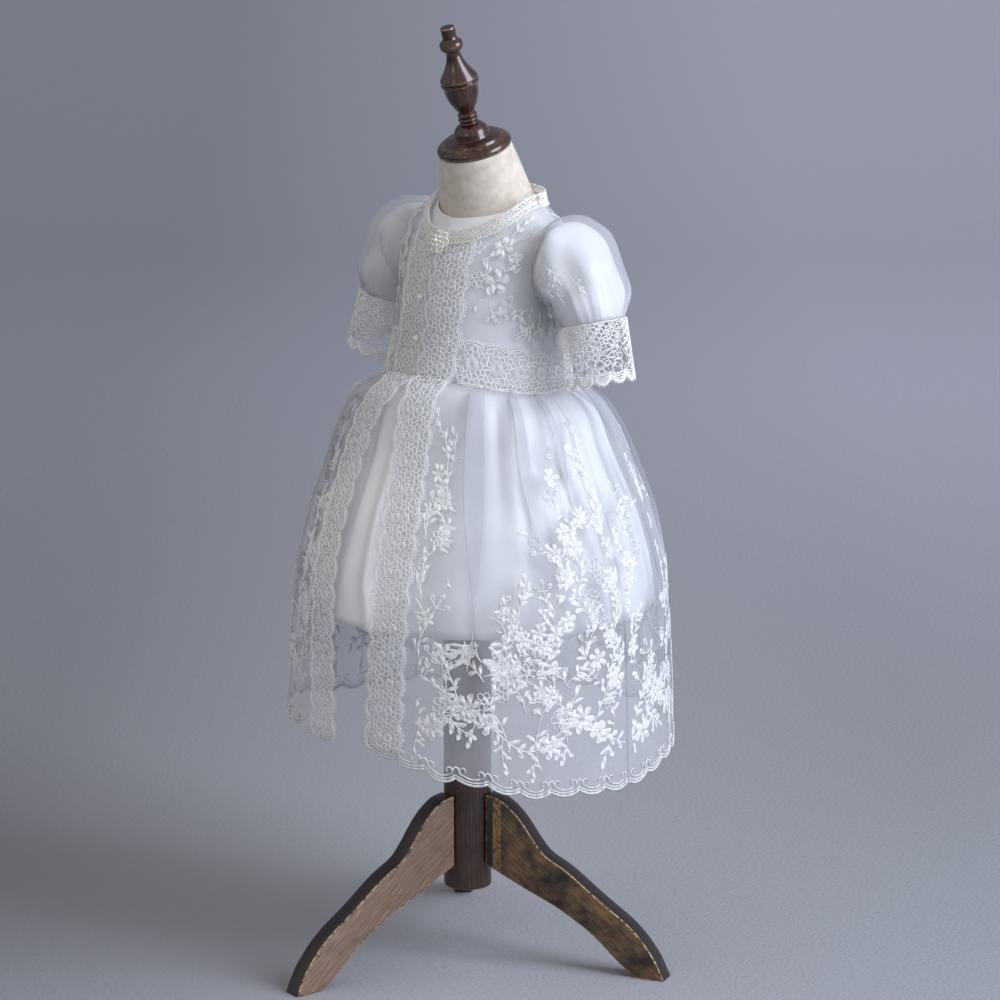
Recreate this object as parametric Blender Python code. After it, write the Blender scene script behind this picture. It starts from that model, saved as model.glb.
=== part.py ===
"""A two-layer christening gown on a child's dress form with a turned finial and a three-legged stand.

Metres, +Z up. The gown faces -Y, the wearer's left is +X, and the floor is z = 0.
Angles round the gown are in degrees from the centre front, positive towards the wearer's left.
"""

import math
from collections import namedtuple

import bpy
from mathutils import Vector

# ---------------------------------------------------------------- shared sizes
AXIS_X = -0.0065          # the column's axis, set so that the whole stands over the origin
AXIS_Y = 0.0005
SEAM_GAP = 0.0003         # between pieces that meet at a seam or a joint
ORGANZA = 0.0012          # wall thicknesses
SATIN = 0.0012
LACE = 0.0016
LIE = 0.0012              # height at which lace lies over the cloth it is sewn to
UNDER = 0.0040            # how far the satin bodice lies inside the coat's outer face

# ---------------------------------------------------------------- colours and finishes
COLOURS = {
    "organza": ((0.86, 0.88, 0.92), 0.55),
    "satin": ((0.88, 0.89, 0.93), 0.28),
    "lace": ((0.84, 0.84, 0.84), 0.75),
    "beads": ((0.90, 0.88, 0.84), 0.20),
    "linen": ((0.78, 0.71, 0.62), 0.85),
    "turned_wood": ((0.10, 0.035, 0.02), 0.25),
    "board_wood": ((0.13, 0.07, 0.04), 0.45),
}

# ---------------------------------------------------------------- the bodices
WAIST = 0.6140            # height of both waist seams at the sides and the back
WAIST_LIFT = 0.0180       # how much higher they are at the centre front
WAIST_LIFT_FROM = 0.5200  # the lift dies out below and above at these heights
WAIST_LIFT_TO = 0.7300
CHEST = 0.7350            # above this the bodice rolls over to the shoulder
SHOULDER_RISE = 0.8420    # the shoulder line's height if it ran on to the middle
SHOULDER_SLOPE = 0.65     # its fall for each metre sideways
ARMHOLE_BOTTOM = 0.7050
ARMHOLE_TOP = 0.7810
ARMHOLE_FRONT = 0.0260    # the armhole's reach before and behind the side seam
ARMHOLE_REAR = 0.0370
ARMHOLE_INSET = 1.60      # the dress's armhole lies this many times as far in as its cloth, but at its top
ARMHOLE_STEPS = 5         # straight stretches along each armhole, front and back alike
BODICE_ROWS = 7
BODICE_COLUMNS = 6        # from the middle to the side
NECK_SHARE = 0.62         # share of a panel's top edge that is neckline, the rest is shoulder seam
FRONT_EDGE = 0.0008       # distance of each front edge from the middle

Section = namedtuple("Section", "height half_width half_depth centre")
BODICE = (
    Section(0.8100, 0.1020, 0.0670, 0.033),
    Section(0.7800, 0.1010, 0.0690, 0.033),
    Section(0.7550, 0.0960, 0.0715, 0.028),
    Section(0.7350, 0.0920, 0.0740, 0.024),
    Section(0.7000, 0.0890, 0.0800, 0.021),
    Section(0.6650, 0.0915, 0.0830, 0.020),
    Section(0.6400, 0.0950, 0.0870, 0.019),
    Section(0.6140, 0.0995, 0.0940, 0.019),
)

Neckline = namedtuple("Neckline", "half_width front back")
COAT_NECK = Neckline(0.0580, 0.7630, 0.7980)
DRESS_NECK = Neckline(0.0545, 0.7870, 0.7960)

# ---------------------------------------------------------------- the skirts
COAT_SKIRT = (
    Section(0.6137, 0.0995, 0.0940, 0.019),
    Section(0.6060, 0.1120, 0.1070, 0.019),
    Section(0.5940, 0.1255, 0.1215, 0.019),
    Section(0.5740, 0.1380, 0.1350, 0.019),
    Section(0.5300, 0.1570, 0.1545, 0.019),
    Section(0.4700, 0.1790, 0.1770, 0.021),
    Section(0.4000, 0.1935, 0.1925, 0.022),
    Section(0.3200, 0.1995, 0.1990, 0.021),
    Section(0.2350, 0.2030, 0.2030, 0.020),
)

Hem = namedtuple("Hem", "angle height")            # the hem dips and rises round the gown
HEM = (
    Hem(-180, 0.2400), Hem(-101, 0.2420), Hem(-48, 0.2680), Hem(-8, 0.2650), Hem(8, 0.2680),
    Hem(20, 0.2540), Hem(34, 0.2410), Hem(60, 0.2230), Hem(88, 0.2180), Hem(120, 0.2300),
    Hem(150, 0.2380), Hem(180, 0.2400),
)

Edge = namedtuple("Edge", "height right left")     # angles of the coat's two front edges
FRONT_EDGES = (
    Edge(0.6140, -0.6, 0.6),
    Edge(0.6060, -2.5, 1.5),
    Edge(0.5940, -6.0, 3.0),
    Edge(0.5740, -9.5, 5.0),
    Edge(0.5300, -11.0, 7.0),
    Edge(0.4700, -11.0, 8.0),
    Edge(0.4000, -9.0, 8.0),
    Edge(0.3200, -6.5, 8.0),
    Edge(0.2350, -4.5, 8.0),
)

SCALLOPS_FRONT = 9        # scallops along the hem of each front, and of the back
SCALLOPS_BACK = 19
COLUMNS_PER_SCALLOP = 3
SCALLOP_DEPTH = 0.0055
GATHERS = 32              # small gathers round the waist
GATHER_DEPTH = 0.0030
GATHER_END = 0.4700       # the height where the small gathers have died out
SMOOTH_FRONT = 24.0       # no folds within this angle of the centre front, where the lace lies
FOLDS_START = 36.0

Fold = namedtuple("Fold", "angle half_angle depth lowest")
FOLDS = (
    Fold(47, 5.0, 0.0060, 0.360),
    Fold(62, 6.0, 0.0055, 0.300),
    Fold(83, 7.0, 0.0060, 0.250),
    Fold(105, 7.0, 0.0070, 0.300),
    Fold(127, 6.0, 0.0055, 0.380),
    Fold(148, 8.0, 0.0070, 0.270),
    Fold(171, 7.0, 0.0060, 0.360),
    Fold(194, 8.0, 0.0070, 0.280),
    Fold(217, 7.0, 0.0055, 0.370),
    Fold(238, 7.0, 0.0065, 0.300),
    Fold(260, 8.0, 0.0060, 0.250),
    Fold(281, 7.0, 0.0065, 0.330),
    Fold(300, 6.0, 0.0055, 0.400),
    Fold(316, 5.0, 0.0055, 0.340),
)

Inset = namedtuple("Inset", "height inset")        # how far the satin lies inside the coat
SATIN_SKIRT = (
    Inset(0.6137, 0.0040),
    Inset(0.5980, 0.0055),
    Inset(0.5600, 0.0065),
    Inset(0.5000, 0.0080),
    Inset(0.4400, 0.0090),
    Inset(0.3840, 0.0105),
)
SATIN_GATHERS = 16
SATIN_GATHER_DEPTH = 0.0022
SATIN_COLUMNS = 32        # on the front, and again on the back

# ---------------------------------------------------------------- the sleeves
Ring = namedtuple("Ring", "top_x top_height under_x under_height half_depth centre proud")
SLEEVE = (                 # by each ring's points over the arm and under it
    Ring(0.1035, 0.7850, 0.0975, 0.7035, 0.0385, 0.0320, 0.0048),
    Ring(0.1130, 0.7885, 0.0985, 0.7010, 0.0420, 0.0355, 0.0062),
    Ring(0.1310, 0.7745, 0.1010, 0.6985, 0.0435, 0.0375, 0.0068),
    Ring(0.1530, 0.7490, 0.1035, 0.6955, 0.0425, 0.0385, 0.0060),
    Ring(0.1655, 0.7215, 0.1050, 0.6900, 0.0380, 0.0380, 0.0035),
    Ring(0.1710, 0.6960, 0.1075, 0.6800, 0.0300, 0.0360, 0.0015),
)
SLEEVE_PROUD_SIDES = 0.60  # the outer puff's clearance at front and back, of that at the top
SLEEVE_COLUMNS = 20        # twice the corners round an armhole
SLEEVE_GATHER = 0.0012     # depth of the gathers at the cuff seam

# ---------------------------------------------------------------- the lace
CUFF_TOP = 0.6838
CUFF_LENGTH = 0.0580
CUFF_RADIUS_TOP = 0.0330
CUFF_RADIUS_BOTTOM = 0.0350
CUFF_LEAN = 0.0145         # how far the cuff's lower edge lies outward of its upper
CUFF_FORWARD = 0.0040      # and how far forward
CUFF_TILT = 0.25           # rise of the cuff towards its outer side, for each metre sideways
CUFF_SCALLOPS = 12
CUFF_SCALLOP_DEPTH = 0.0065
CUFF_HOLE_ROW = (0.0300, 0.0430)
CUFF_HOLE = 0.0050         # width of the holes cut through

TRIM_WIDTH = 0.0400
TRIM_PROUD = 0.0015        # how far the front lace stands past the coat's edge
TRIM_SCALLOP = 0.0030
TRIM_ROWS_BODICE = 12      # two rows for each scallop
TRIM_STEP = 0.0135         # from row to row down the skirt
TRIM_HEM = 0.0010          # height of its end over the coat's hem

WAIST_LACE_BOTTOM = 0.6148
WAIST_LACE_TOP = 0.6570
WAIST_LACE_PICOT = 0.0010
WAIST_LACE_STEP = 6.0      # degrees for each column
WAIST_LACE_START = 27.5    # its ends meet the front lace here

NECK_LACE_WIDTH = 0.0140   # of which a little lies on the coat and the rest stands above its edge
NECK_LACE_LAP = 0.0020
NECK_LACE_UPRIGHT = 0.75   # how upright it stands behind and at the sides; it lies flat in front
NECK_LACE_COLUMNS = 8      # on each front, and twice that on the back

Button = namedtuple("Button", "name height aside radius thickness lift")
BUTTONS = (
    Button("neck_flower_clasp", 0.7560, 0.0000, 0.0075, 0.0035, 0.0010),
    Button("bead_button_upper", 0.7070, -0.0090, 0.0045, 0.0030, 0.0006),
    Button("bead_button_lower", 0.6570, -0.0090, 0.0045, 0.0030, 0.0006),
)

# ---------------------------------------------------------------- the form and its stand
COLUMN_RADIUS = 0.0250
COLUMN_BOTTOM = 0.0750
TORSO_BOTTOM = 0.4700
NECK_TILT = 18.0           # the neck's top and the finial lean forward by this
CAP_BASE = (0.0129, 0.8540)   # y and z of the cap's underside, on its axis

TiltedSection = namedtuple("TiltedSection", "height half_width half_depth centre tilt")
TORSO = (
    TiltedSection(0.4700, 0.0850, 0.0760, 0.012, 0),
    TiltedSection(0.4820, 0.0930, 0.0820, 0.012, 0),
    TiltedSection(0.5500, 0.0940, 0.0850, 0.016, 0),
    TiltedSection(0.6140, 0.0880, 0.0820, 0.018, 0),
    TiltedSection(0.6600, 0.0825, 0.0740, 0.020, 0),
    TiltedSection(0.7000, 0.0795, 0.0700, 0.022, 0),
    TiltedSection(0.7400, 0.0795, 0.0610, 0.026, 0),
    TiltedSection(0.7650, 0.0720, 0.0530, 0.031, 0),
    TiltedSection(0.7820, 0.0600, 0.0500, 0.033, 2),
    TiltedSection(0.7940, 0.0490, 0.0465, 0.032, 5),
    TiltedSection(0.8220, 0.0430, 0.0430, 0.024, 12),
    TiltedSection(0.8537, 0.0375, 0.0375, 0.013, 18),
)
TORSO_SIDES = 28

Turn = namedtuple("Turn", "along radius")          # a turned profile, from the bottom up
CAP = (
    Turn(0.0000, 0.0370),
    Turn(0.0020, 0.0385),
    Turn(0.0060, 0.0380),
    Turn(0.0090, 0.0345),
    Turn(0.0100, 0.0300),
    Turn(0.0125, 0.0285),
    Turn(0.0140, 0.0180),
    Turn(0.0190, 0.0178),
    Turn(0.0240, 0.0155),
    Turn(0.0270, 0.0110),
)
FINIAL = (
    Turn(0.0273, 0.0085),
    Turn(0.0290, 0.0098),
    Turn(0.0305, 0.0085),
    Turn(0.0330, 0.0102),
    Turn(0.0350, 0.0088),
    Turn(0.0375, 0.0100),
    Turn(0.0400, 0.0080),
    Turn(0.0450, 0.0105),
    Turn(0.0540, 0.0150),
    Turn(0.0640, 0.0175),
    Turn(0.0695, 0.0180),
    Turn(0.0710, 0.0195),
    Turn(0.0735, 0.0195),
    Turn(0.0745, 0.0182),
    Turn(0.0760, 0.0195),
    Turn(0.0780, 0.0190),
    Turn(0.0850, 0.0145),
    Turn(0.0940, 0.0095),
    Turn(0.1050, 0.0073),
    Turn(0.1080, 0.0105),
    Turn(0.1110, 0.0120),
    Turn(0.1150, 0.0120),
    Turn(0.1180, 0.0090),
    Turn(0.1200, 0.0072),
    Turn(0.1320, 0.0076),
)
CAP_SIDES = 24
FINIAL_SIDES = 20

LEG_THICKNESS = 0.0220
LEG_ANGLES = (-11.0, 109.0, 224.0)
LEG_BEVEL = 0.0015
Rib = namedtuple("Rib", "out height")              # out from the column's axis
LEG_UPPER = (
    Rib(0.0253, 0.178), Rib(0.0420, 0.174), Rib(0.0620, 0.158), Rib(0.0830, 0.130), Rib(0.0950, 0.118),
    Rib(0.1180, 0.105), Rib(0.1530, 0.079), Rib(0.1880, 0.054), Rib(0.2120, 0.027), Rib(0.2260, 0.000),
)
LEG_LOWER = (
    Rib(0.1940, 0.000), Rib(0.1730, 0.016), Rib(0.1460, 0.040), Rib(0.1110, 0.062), Rib(0.0760, 0.078),
    Rib(0.0480, 0.091), Rib(0.0253, 0.102),
)


# ---------------------------------------------------------------- helpers
def clear_scene():
    for thing in list(bpy.data.objects):
        bpy.data.objects.remove(thing, do_unlink=True)


def make_material(name):
    colour, roughness = COLOURS[name]
    material = bpy.data.materials.new(name)
    material.use_nodes = True
    shader = material.node_tree.nodes["Principled BSDF"]
    shader.inputs["Base Color"].default_value = (*colour, 1.0)
    shader.inputs["Roughness"].default_value = roughness
    shader.inputs["Metallic"].default_value = 0.0
    return material


def add_piece(name, points, faces, material, axis, sharp=35.0):
    """One closed body under the axis empty, shaded smooth but for its sharp edges."""
    mesh = bpy.data.meshes.new(name)
    mesh.from_pydata([tuple(p) for p in points], [], faces)
    mesh.validate()
    mesh.shade_smooth()
    mesh.set_sharp_from_angle(angle=math.radians(sharp))
    mesh.materials.append(MATERIALS[material])
    piece = bpy.data.objects.new(name, mesh)
    bpy.context.collection.objects.link(piece)
    piece.parent = axis
    return piece


def read(table, height, column):
    """A column's value at a height, on straight lines between the table's rows."""
    rows = sorted(table, key=lambda row: row.height)
    if height <= rows[0].height:
        return getattr(rows[0], column)
    for low, high in zip(rows, rows[1:]):
        if height <= high.height:
            share = (height - low.height) / (high.height - low.height)
            return getattr(low, column) * (1 - share) + getattr(high, column) * share
    return getattr(rows[-1], column)


def ease(value, start, end):
    """0 before start, 1 after end, and a smooth step between."""
    share = min(1.0, max(0.0, (value - start) / (end - start)))
    return share * share * (3 - 2 * share)


def grid(point, rows, columns, out=0.0):
    """Rows from the top down, each with its columns towards the wearer's left on the front."""
    return [[point(row, column, out) for column in range(columns + 1)] for row in range(rows + 1)]


def moved_out(surface, distance, closed):
    """The surface moved along its normals; distance may be a function of the row and the column."""
    rows = len(surface)
    columns = len(surface[0])
    moved = []
    for row in range(rows):
        line = []
        for column in range(columns):
            if closed:
                before = surface[row][(column - 1) % columns]
                after = surface[row][(column + 1) % columns]
            else:
                before = surface[row][max(0, column - 1)]
                after = surface[row][min(columns - 1, column + 1)]
            above = surface[max(0, row - 1)][column]
            below = surface[min(rows - 1, row + 1)][column]
            normal = (below - above).cross(after - before).normalized()
            far = distance(row, column) if callable(distance) else distance
            line.append(surface[row][column] + normal * far)
        moved.append(line)
    return moved


def wall(name, outer, inner, material, axis, closed=False):
    """A cloth wall between two grids of points, closed round its edges.

    Both faces are cut along the same diagonals, the shorter ones, so that the wall never crosses itself.
    """
    rows = len(outer) - 1
    width = len(outer[0])
    columns = width if closed else width - 1
    points = [spot for surface in (outer, inner) for line in surface for spot in line]
    layer = (rows + 1) * width

    def at(side, row, column):
        return side * layer + row * width + column % width

    faces = []
    for row in range(rows):
        for column in range(columns):
            quad = (at(0, row, column), at(0, row + 1, column),
                    at(0, row + 1, column + 1), at(0, row, column + 1))
            falling = (points[quad[0]] - points[quad[2]]).length
            rising = (points[quad[1]] - points[quad[3]]).length
            halves = ((0, 1, 2), (0, 2, 3)) if falling < rising else ((0, 1, 3), (1, 2, 3))
            for half in halves:
                faces.append(tuple(quad[corner] for corner in half))
                faces.append(tuple(quad[corner] + layer for corner in reversed(half)))
    for column in range(columns):
        faces.append((at(0, 0, column + 1), at(1, 0, column + 1), at(1, 0, column), at(0, 0, column)))
        faces.append((at(0, rows, column), at(1, rows, column),
                      at(1, rows, column + 1), at(0, rows, column + 1)))
    if not closed:
        for row in range(rows):
            faces.append((at(0, row, 0), at(1, row, 0), at(1, row + 1, 0), at(0, row + 1, 0)))
            faces.append((at(0, row + 1, columns), at(1, row + 1, columns),
                          at(1, row, columns), at(0, row, columns)))
    return add_piece(name, points, faces, material, axis)


def wall_between(name, point, rows, columns, thickness, material, axis, outside=0.0):
    """A wall of a surface that can be read at any distance out from its base."""
    outer = grid(point, rows, columns, outside)
    inner = grid(point, rows, columns, outside - thickness)
    return wall(name, outer, inner, material, axis)


def lifted(spot):
    """The waist rises towards the centre front, and the cloth above and below it with it."""
    waist = BODICE[-1]
    forward = max(0.0, (waist.centre - spot.y) / waist.half_depth)
    near = ease(spot.z, WAIST_LIFT_FROM, WAIST) * (1 - ease(spot.z, WAIST, WAIST_LIFT_TO))
    return spot + Vector((0.0, 0.0, WAIST_LIFT * min(1.0, forward ** 2) * near))


# ---------------------------------------------------------------- bodice surface
def shoulder_top(x, base):
    return SHOULDER_RISE - SHOULDER_SLOPE * abs(x) + base


def bodice_depth(x, height, base):
    """How far the bodice stands before or behind its centre line; base moves the whole layer out."""
    half_width = read(BODICE, height, "half_width") + base
    half_depth = read(BODICE, height, "half_depth") + base
    across = max(0.0, 1 - (x / half_width) ** 2)
    rolled = 0.0
    if height > CHEST:
        rolled = min(1.0, (height - CHEST) / (shoulder_top(x, base) - CHEST))
    return half_depth * math.sqrt(across) * math.sqrt(max(0.0, 1 - rolled ** 2))


def bodice_level(spot, base):
    """0 on a bodice layer's surface, more outside it and less inside."""
    half_width = read(BODICE, spot.z, "half_width") + base
    half_depth = read(BODICE, spot.z, "half_depth") + base
    rolled = max(0.0, spot.z - CHEST) / (shoulder_top(spot.x, base) - CHEST)
    inside = (1 - (spot.x / half_width) ** 2) * (1 - rolled ** 2)
    return ((spot.y - read(BODICE, spot.z, "centre")) / half_depth) ** 2 - inside


def bodice_slope(spot, base):
    step = 0.002
    return Vector([
        (bodice_level(spot + side, base) - bodice_level(spot - side, base)) / (2 * step)
        for side in (Vector((step, 0, 0)), Vector((0, step, 0)), Vector((0, 0, step)))
    ])


def bodice_normal(spot, base):
    return bodice_slope(spot, base).normalized()


def armhole_ends(base):
    """Heights of the armhole's bottom and top in a layer."""
    return ARMHOLE_BOTTOM - ARMHOLE_INSET * base, ARMHOLE_TOP + base


def side_width(side, height, base):
    """A panel's half width at its side, along the side seam and then the armhole."""
    bottom, top = armhole_ends(base)
    if height <= bottom:
        return read(BODICE, height, "half_width") + base
    if height >= top:
        return (SHOULDER_RISE + base - top) / SHOULDER_SLOPE
    middle = (bottom + top) / 2
    up = (height - middle) / (top - middle)
    reach = ARMHOLE_FRONT if side < 0 else ARMHOLE_REAR
    opening = (reach + ARMHOLE_INSET * base) * math.sqrt(1 - up ** 2)
    inner = 0.0
    outer = read(BODICE, height, "half_width") + base
    for _ in range(30):
        x = (inner + outer) / 2
        if bodice_depth(x, height, base) > opening:
            inner = x
        else:
            outer = x
    return x


def bodice_up(row, base):
    """A row's share of the panel's height at its side: even below the armhole, then by its turns."""
    bottom, top = armhole_ends(base)
    waist = WAIST + SEAM_GAP
    if row >= ARMHOLE_STEPS:
        low = (bottom - waist) / (top - waist)
        return low * (BODICE_ROWS - row) / (BODICE_ROWS - ARMHOLE_STEPS)
    middle = (bottom + top) / 2
    height = middle + (top - middle) * math.cos(math.pi * row / ARMHOLE_STEPS)
    return (height - waist) / (top - waist)


def bodice_point(side, across, up, out, base, neck, edge=0.0):
    """across is 0 at the middle and 1 at the side, up is 0 at the waist and 1 at the top edge.

    side is -1 on the front and 1 on the back, out is along the surface's normal.
    """
    share = abs(across)
    waist = WAIST + SEAM_GAP
    side_top = armhole_ends(base)[1]
    tip = side_width(side, side_top, base)
    middle_top = neck.front if side < 0 else neck.back
    neck_point = shoulder_top(neck.half_width, base)
    if share < NECK_SHARE:
        turn = share / NECK_SHARE * math.pi / 2
        top_x = neck.half_width * math.sin(turn)
        top = middle_top + (neck_point - middle_top) * (1 - math.cos(turn))
    else:
        top_x = neck.half_width + (tip - neck.half_width) * (share - NECK_SHARE) / (1 - NECK_SHARE)
        top = shoulder_top(top_x, base)
    height = waist + (top - waist) * up
    even = math.sin(share * math.pi / 2)
    side_x = side_width(side, waist + (side_top - waist) * up, base)
    x = even * side_x + (top_x - even * tip) * up ** 2
    x = edge + x * (1 - edge / side_x)
    y = read(BODICE, height, "centre") + side * (bodice_depth(x, height, base) + SEAM_GAP / 2)
    spot = Vector((x, y, height))
    spot += bodice_normal(spot, base) * out
    if share == 0:
        spot.x = edge
    spot.x = math.copysign(spot.x, across) if across else spot.x
    return lifted(spot)


def coat_bodice_at(angle, height, out):
    """A point of the coat's bodice by its angle round the body."""
    x = read(BODICE, height, "half_width") * math.sin(math.radians(angle))
    side = -1 if math.cos(math.radians(angle)) > 0 else 1
    spot = Vector((x, read(BODICE, height, "centre") + side * bodice_depth(x, height, 0.0), height))
    return lifted(spot + bodice_normal(spot, 0.0) * out)


# ---------------------------------------------------------------- skirt surface
def hem_height(angle):
    """The hem's height at an angle, from -180 to 180."""
    angle = (angle + 180) % 360 - 180
    for before, after in zip(HEM, HEM[1:]):
        if angle <= after.angle:
            return before.height + (after.height - before.height) * ease(angle, before.angle, after.angle)
    return HEM[-1].height


def fold_push(angle, height):
    """How far gathers and folds push the coat's skirt out; they fade under the front lace."""
    angle = angle % 360
    from_front = min(angle, 360 - angle)
    window = ease(from_front, SMOOTH_FRONT, FOLDS_START)
    down = (WAIST - height) / (WAIST - GATHER_END)
    push = 0.0
    if 0 < down < 1:
        wave = (1 + math.cos(math.radians(GATHERS * angle))) / 2
        push += GATHER_DEPTH * wave * (1 - down) * min(1.0, 6 * down)
    for fold in FOLDS:
        down = (WAIST - height) / (WAIST - fold.lowest)
        if 0 < down < 1:
            bulge = math.exp(-((angle - fold.angle) / fold.half_angle) ** 2)
            push += fold.depth * bulge * (1 - down) ** 0.7 * min(1.0, 5 * down)
    return push * window


def skirt_row_point(angle, row, out, folded):
    section = COAT_SKIRT[row]
    above = COAT_SKIRT[max(0, row - 1)]
    below = COAT_SKIRT[min(len(COAT_SKIRT) - 1, row + 1)]
    flare = (below.half_width - above.half_width) / (above.height - below.height)
    push = fold_push(angle, section.height) if folded else 0.0
    length = math.hypot(1.0, flare)
    reach = push + out / length
    turn = math.radians(angle)
    return Vector(((section.half_width + reach) * math.sin(turn),
                   section.centre - (section.half_depth + reach) * math.cos(turn),
                   section.height + out * flare / length))


def skirt_point(angle, height, out, folded=True):
    """A point of the coat's skirt; its rows are joined by straight lines."""
    row = 0
    while row < len(COAT_SKIRT) - 2 and height < COAT_SKIRT[row + 1].height:
        row += 1
    high = COAT_SKIRT[row].height
    low = COAT_SKIRT[row + 1].height
    share = (high - height) / (high - low)
    upper = skirt_row_point(angle, row, out, folded)
    lower = skirt_row_point(angle, row + 1, out, folded)
    return lifted(upper.lerp(lower, share))


# ---------------------------------------------------------------- the satin dress
def dress_bodice(axis):
    for side, name in ((-1, "dress_bodice_front"), (1, "dress_bodice_back")):
        def point(row, column, out, side=side):
            across = -side * (column / BODICE_COLUMNS - 1)
            return bodice_point(side, across, bodice_up(row, -UNDER), out, -UNDER, DRESS_NECK)
        wall_between(name, point, BODICE_ROWS, 2 * BODICE_COLUMNS, SATIN, "satin", axis)


def dress_skirt(axis):
    rows = len(SATIN_SKIRT) - 1
    seam = 0.12
    for start, name in ((-90, "dress_skirt_front"), (90, "dress_skirt_back")):
        def point(row, column, out, start=start):
            height = SATIN_SKIRT[row].height
            angle = start + seam + (180 - 2 * seam) * column / SATIN_COLUMNS
            down = (WAIST - height) / (WAIST - SATIN_SKIRT[-1].height)
            wave = (1 + math.cos(math.radians(SATIN_GATHERS * angle))) / 2
            push = SATIN_GATHER_DEPTH * wave * min(1.0, 4 * down)
            return skirt_point(angle, height, out + push - SATIN_SKIRT[row].inset, folded=False)
        wall_between(name, point, rows, SATIN_COLUMNS, SATIN, "satin", axis)


# ---------------------------------------------------------------- sleeves
def armhole_corner(hand, corner, base):
    """A corner of the armhole's outer edge, counted from the shoulder down the front and up the back."""
    steps = corner % (2 * ARMHOLE_STEPS)
    side = -1 if steps <= ARMHOLE_STEPS else 1
    row = steps if steps <= ARMHOLE_STEPS else 2 * ARMHOLE_STEPS - steps
    spot = bodice_point(side, 1.0, bodice_up(row, base), 0.0, base, COAT_NECK)
    spot.x *= hand
    return spot


def armhole_seam(hand, base):
    """The sleeve's first ring, a seam's gap inside the armhole and outside the bodice."""
    ring = []
    for column in range(SLEEVE_COLUMNS):
        half = -hand * column * ARMHOLE_STEPS * 2 / SLEEVE_COLUMNS
        corner = math.floor(half)
        share = half - corner
        spot = armhole_corner(hand, corner, base).lerp(armhole_corner(hand, corner + 1, base), share)
        middle = Vector((spot.x, read(BODICE, spot.z, "centre"), (ARMHOLE_BOTTOM + ARMHOLE_TOP) / 2))
        spot -= (spot - middle).normalized() * SEAM_GAP
        spot.x += hand * 2 * SEAM_GAP
        ring.append(spot)
    return ring


def satin_puff(hand):
    """The satin sleeve's outer face: rings from the armhole to the cuff, columns round from the top."""
    surface = [armhole_seam(hand, -UNDER)]
    for section in SLEEVE:
        over = Vector((hand * section.top_x, section.centre, section.top_height))
        under = Vector((hand * section.under_x, section.centre, section.under_height))
        ring = []
        for column in range(SLEEVE_COLUMNS):
            turn = -hand * 2 * math.pi * column / SLEEVE_COLUMNS
            spot = (over + under) / 2 + (over - under) / 2 * math.cos(turn)
            spot.y -= section.half_depth * math.sin(turn)
            ring.append(spot)
        surface.append(ring)
    return surface


def sleeves(axis):
    """Each satin puff, and the sheer puff that stands proud of it, gathered at the cuff seam."""
    last = len(SLEEVE)
    for hand, side in ((1, "left"), (-1, "right")):
        satin = satin_puff(hand)

        def gathered(row, column):
            return -SLEEVE_GATHER * (column % 2) if row >= last - 1 else 0.0

        def proud(row, column):
            upward = max(0.0, math.cos(2 * math.pi * column / SLEEVE_COLUMNS))
            clear = SLEEVE[max(0, row - 1)].proud
            clear *= SLEEVE_PROUD_SIDES + (1 - SLEEVE_PROUD_SIDES) * upward
            return clear + ORGANZA - gathered(row, column)

        sheer = moved_out(satin, proud, closed=True)
        sheer[0] = armhole_seam(hand, 0.0)
        satin = moved_out(satin, gathered, closed=True)
        wall(f"dress_sleeve_{side}", satin, moved_out(satin, -SATIN, closed=True), "satin", axis, closed=True)
        wall(f"coat_sleeve_{side}", sheer, moved_out(sheer, -ORGANZA, closed=True), "organza", axis,
             closed=True)


# ---------------------------------------------------------------- the organza coat
def coat_bodice(axis):
    for hand, name in ((1, "coat_bodice_front_left"), (-1, "coat_bodice_front_right")):
        def point(row, column, out, hand=hand):
            share = column / BODICE_COLUMNS if hand > 0 else 1 - column / BODICE_COLUMNS
            spot = bodice_point(-1, share, bodice_up(row, 0.0), out, 0.0, COAT_NECK, edge=FRONT_EDGE)
            spot.x *= hand
            return spot
        wall_between(name, point, BODICE_ROWS, BODICE_COLUMNS, ORGANZA, "organza", axis)

    def back_point(row, column, out):
        return bodice_point(1, 1 - column / BODICE_COLUMNS, bodice_up(row, 0.0), out, 0.0, COAT_NECK)
    wall_between("coat_bodice_back", back_point, BODICE_ROWS, 2 * BODICE_COLUMNS, ORGANZA, "organza", axis)


def coat_skirt(axis):
    rows = len(COAT_SKIRT) - 1
    seam = 0.12

    def panel(name, scallops, start, end):
        columns = scallops * COLUMNS_PER_SCALLOP

        def point(row, column, out):
            height = COAT_SKIRT[row].height
            first = start(height)
            angle = first + (end(height) - first) * column / columns
            if row == rows:
                along = (column % COLUMNS_PER_SCALLOP) / COLUMNS_PER_SCALLOP
                height = hem_height(angle) + SCALLOP_DEPTH * (1 - math.sin(math.pi * along) ** 0.8)
            return skirt_point(angle, height, out)
        wall_between(name, point, rows, columns, ORGANZA, "organza", axis)

    panel("coat_skirt_front_left", SCALLOPS_FRONT,
          lambda height: read(FRONT_EDGES, height, "left"), lambda height: 90 - seam)
    panel("coat_skirt_back", SCALLOPS_BACK, lambda height: 90 + seam, lambda height: 270 - seam)
    panel("coat_skirt_front_right", SCALLOPS_FRONT,
          lambda height: -90 + seam, lambda height: read(FRONT_EDGES, height, "right"))


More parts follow.
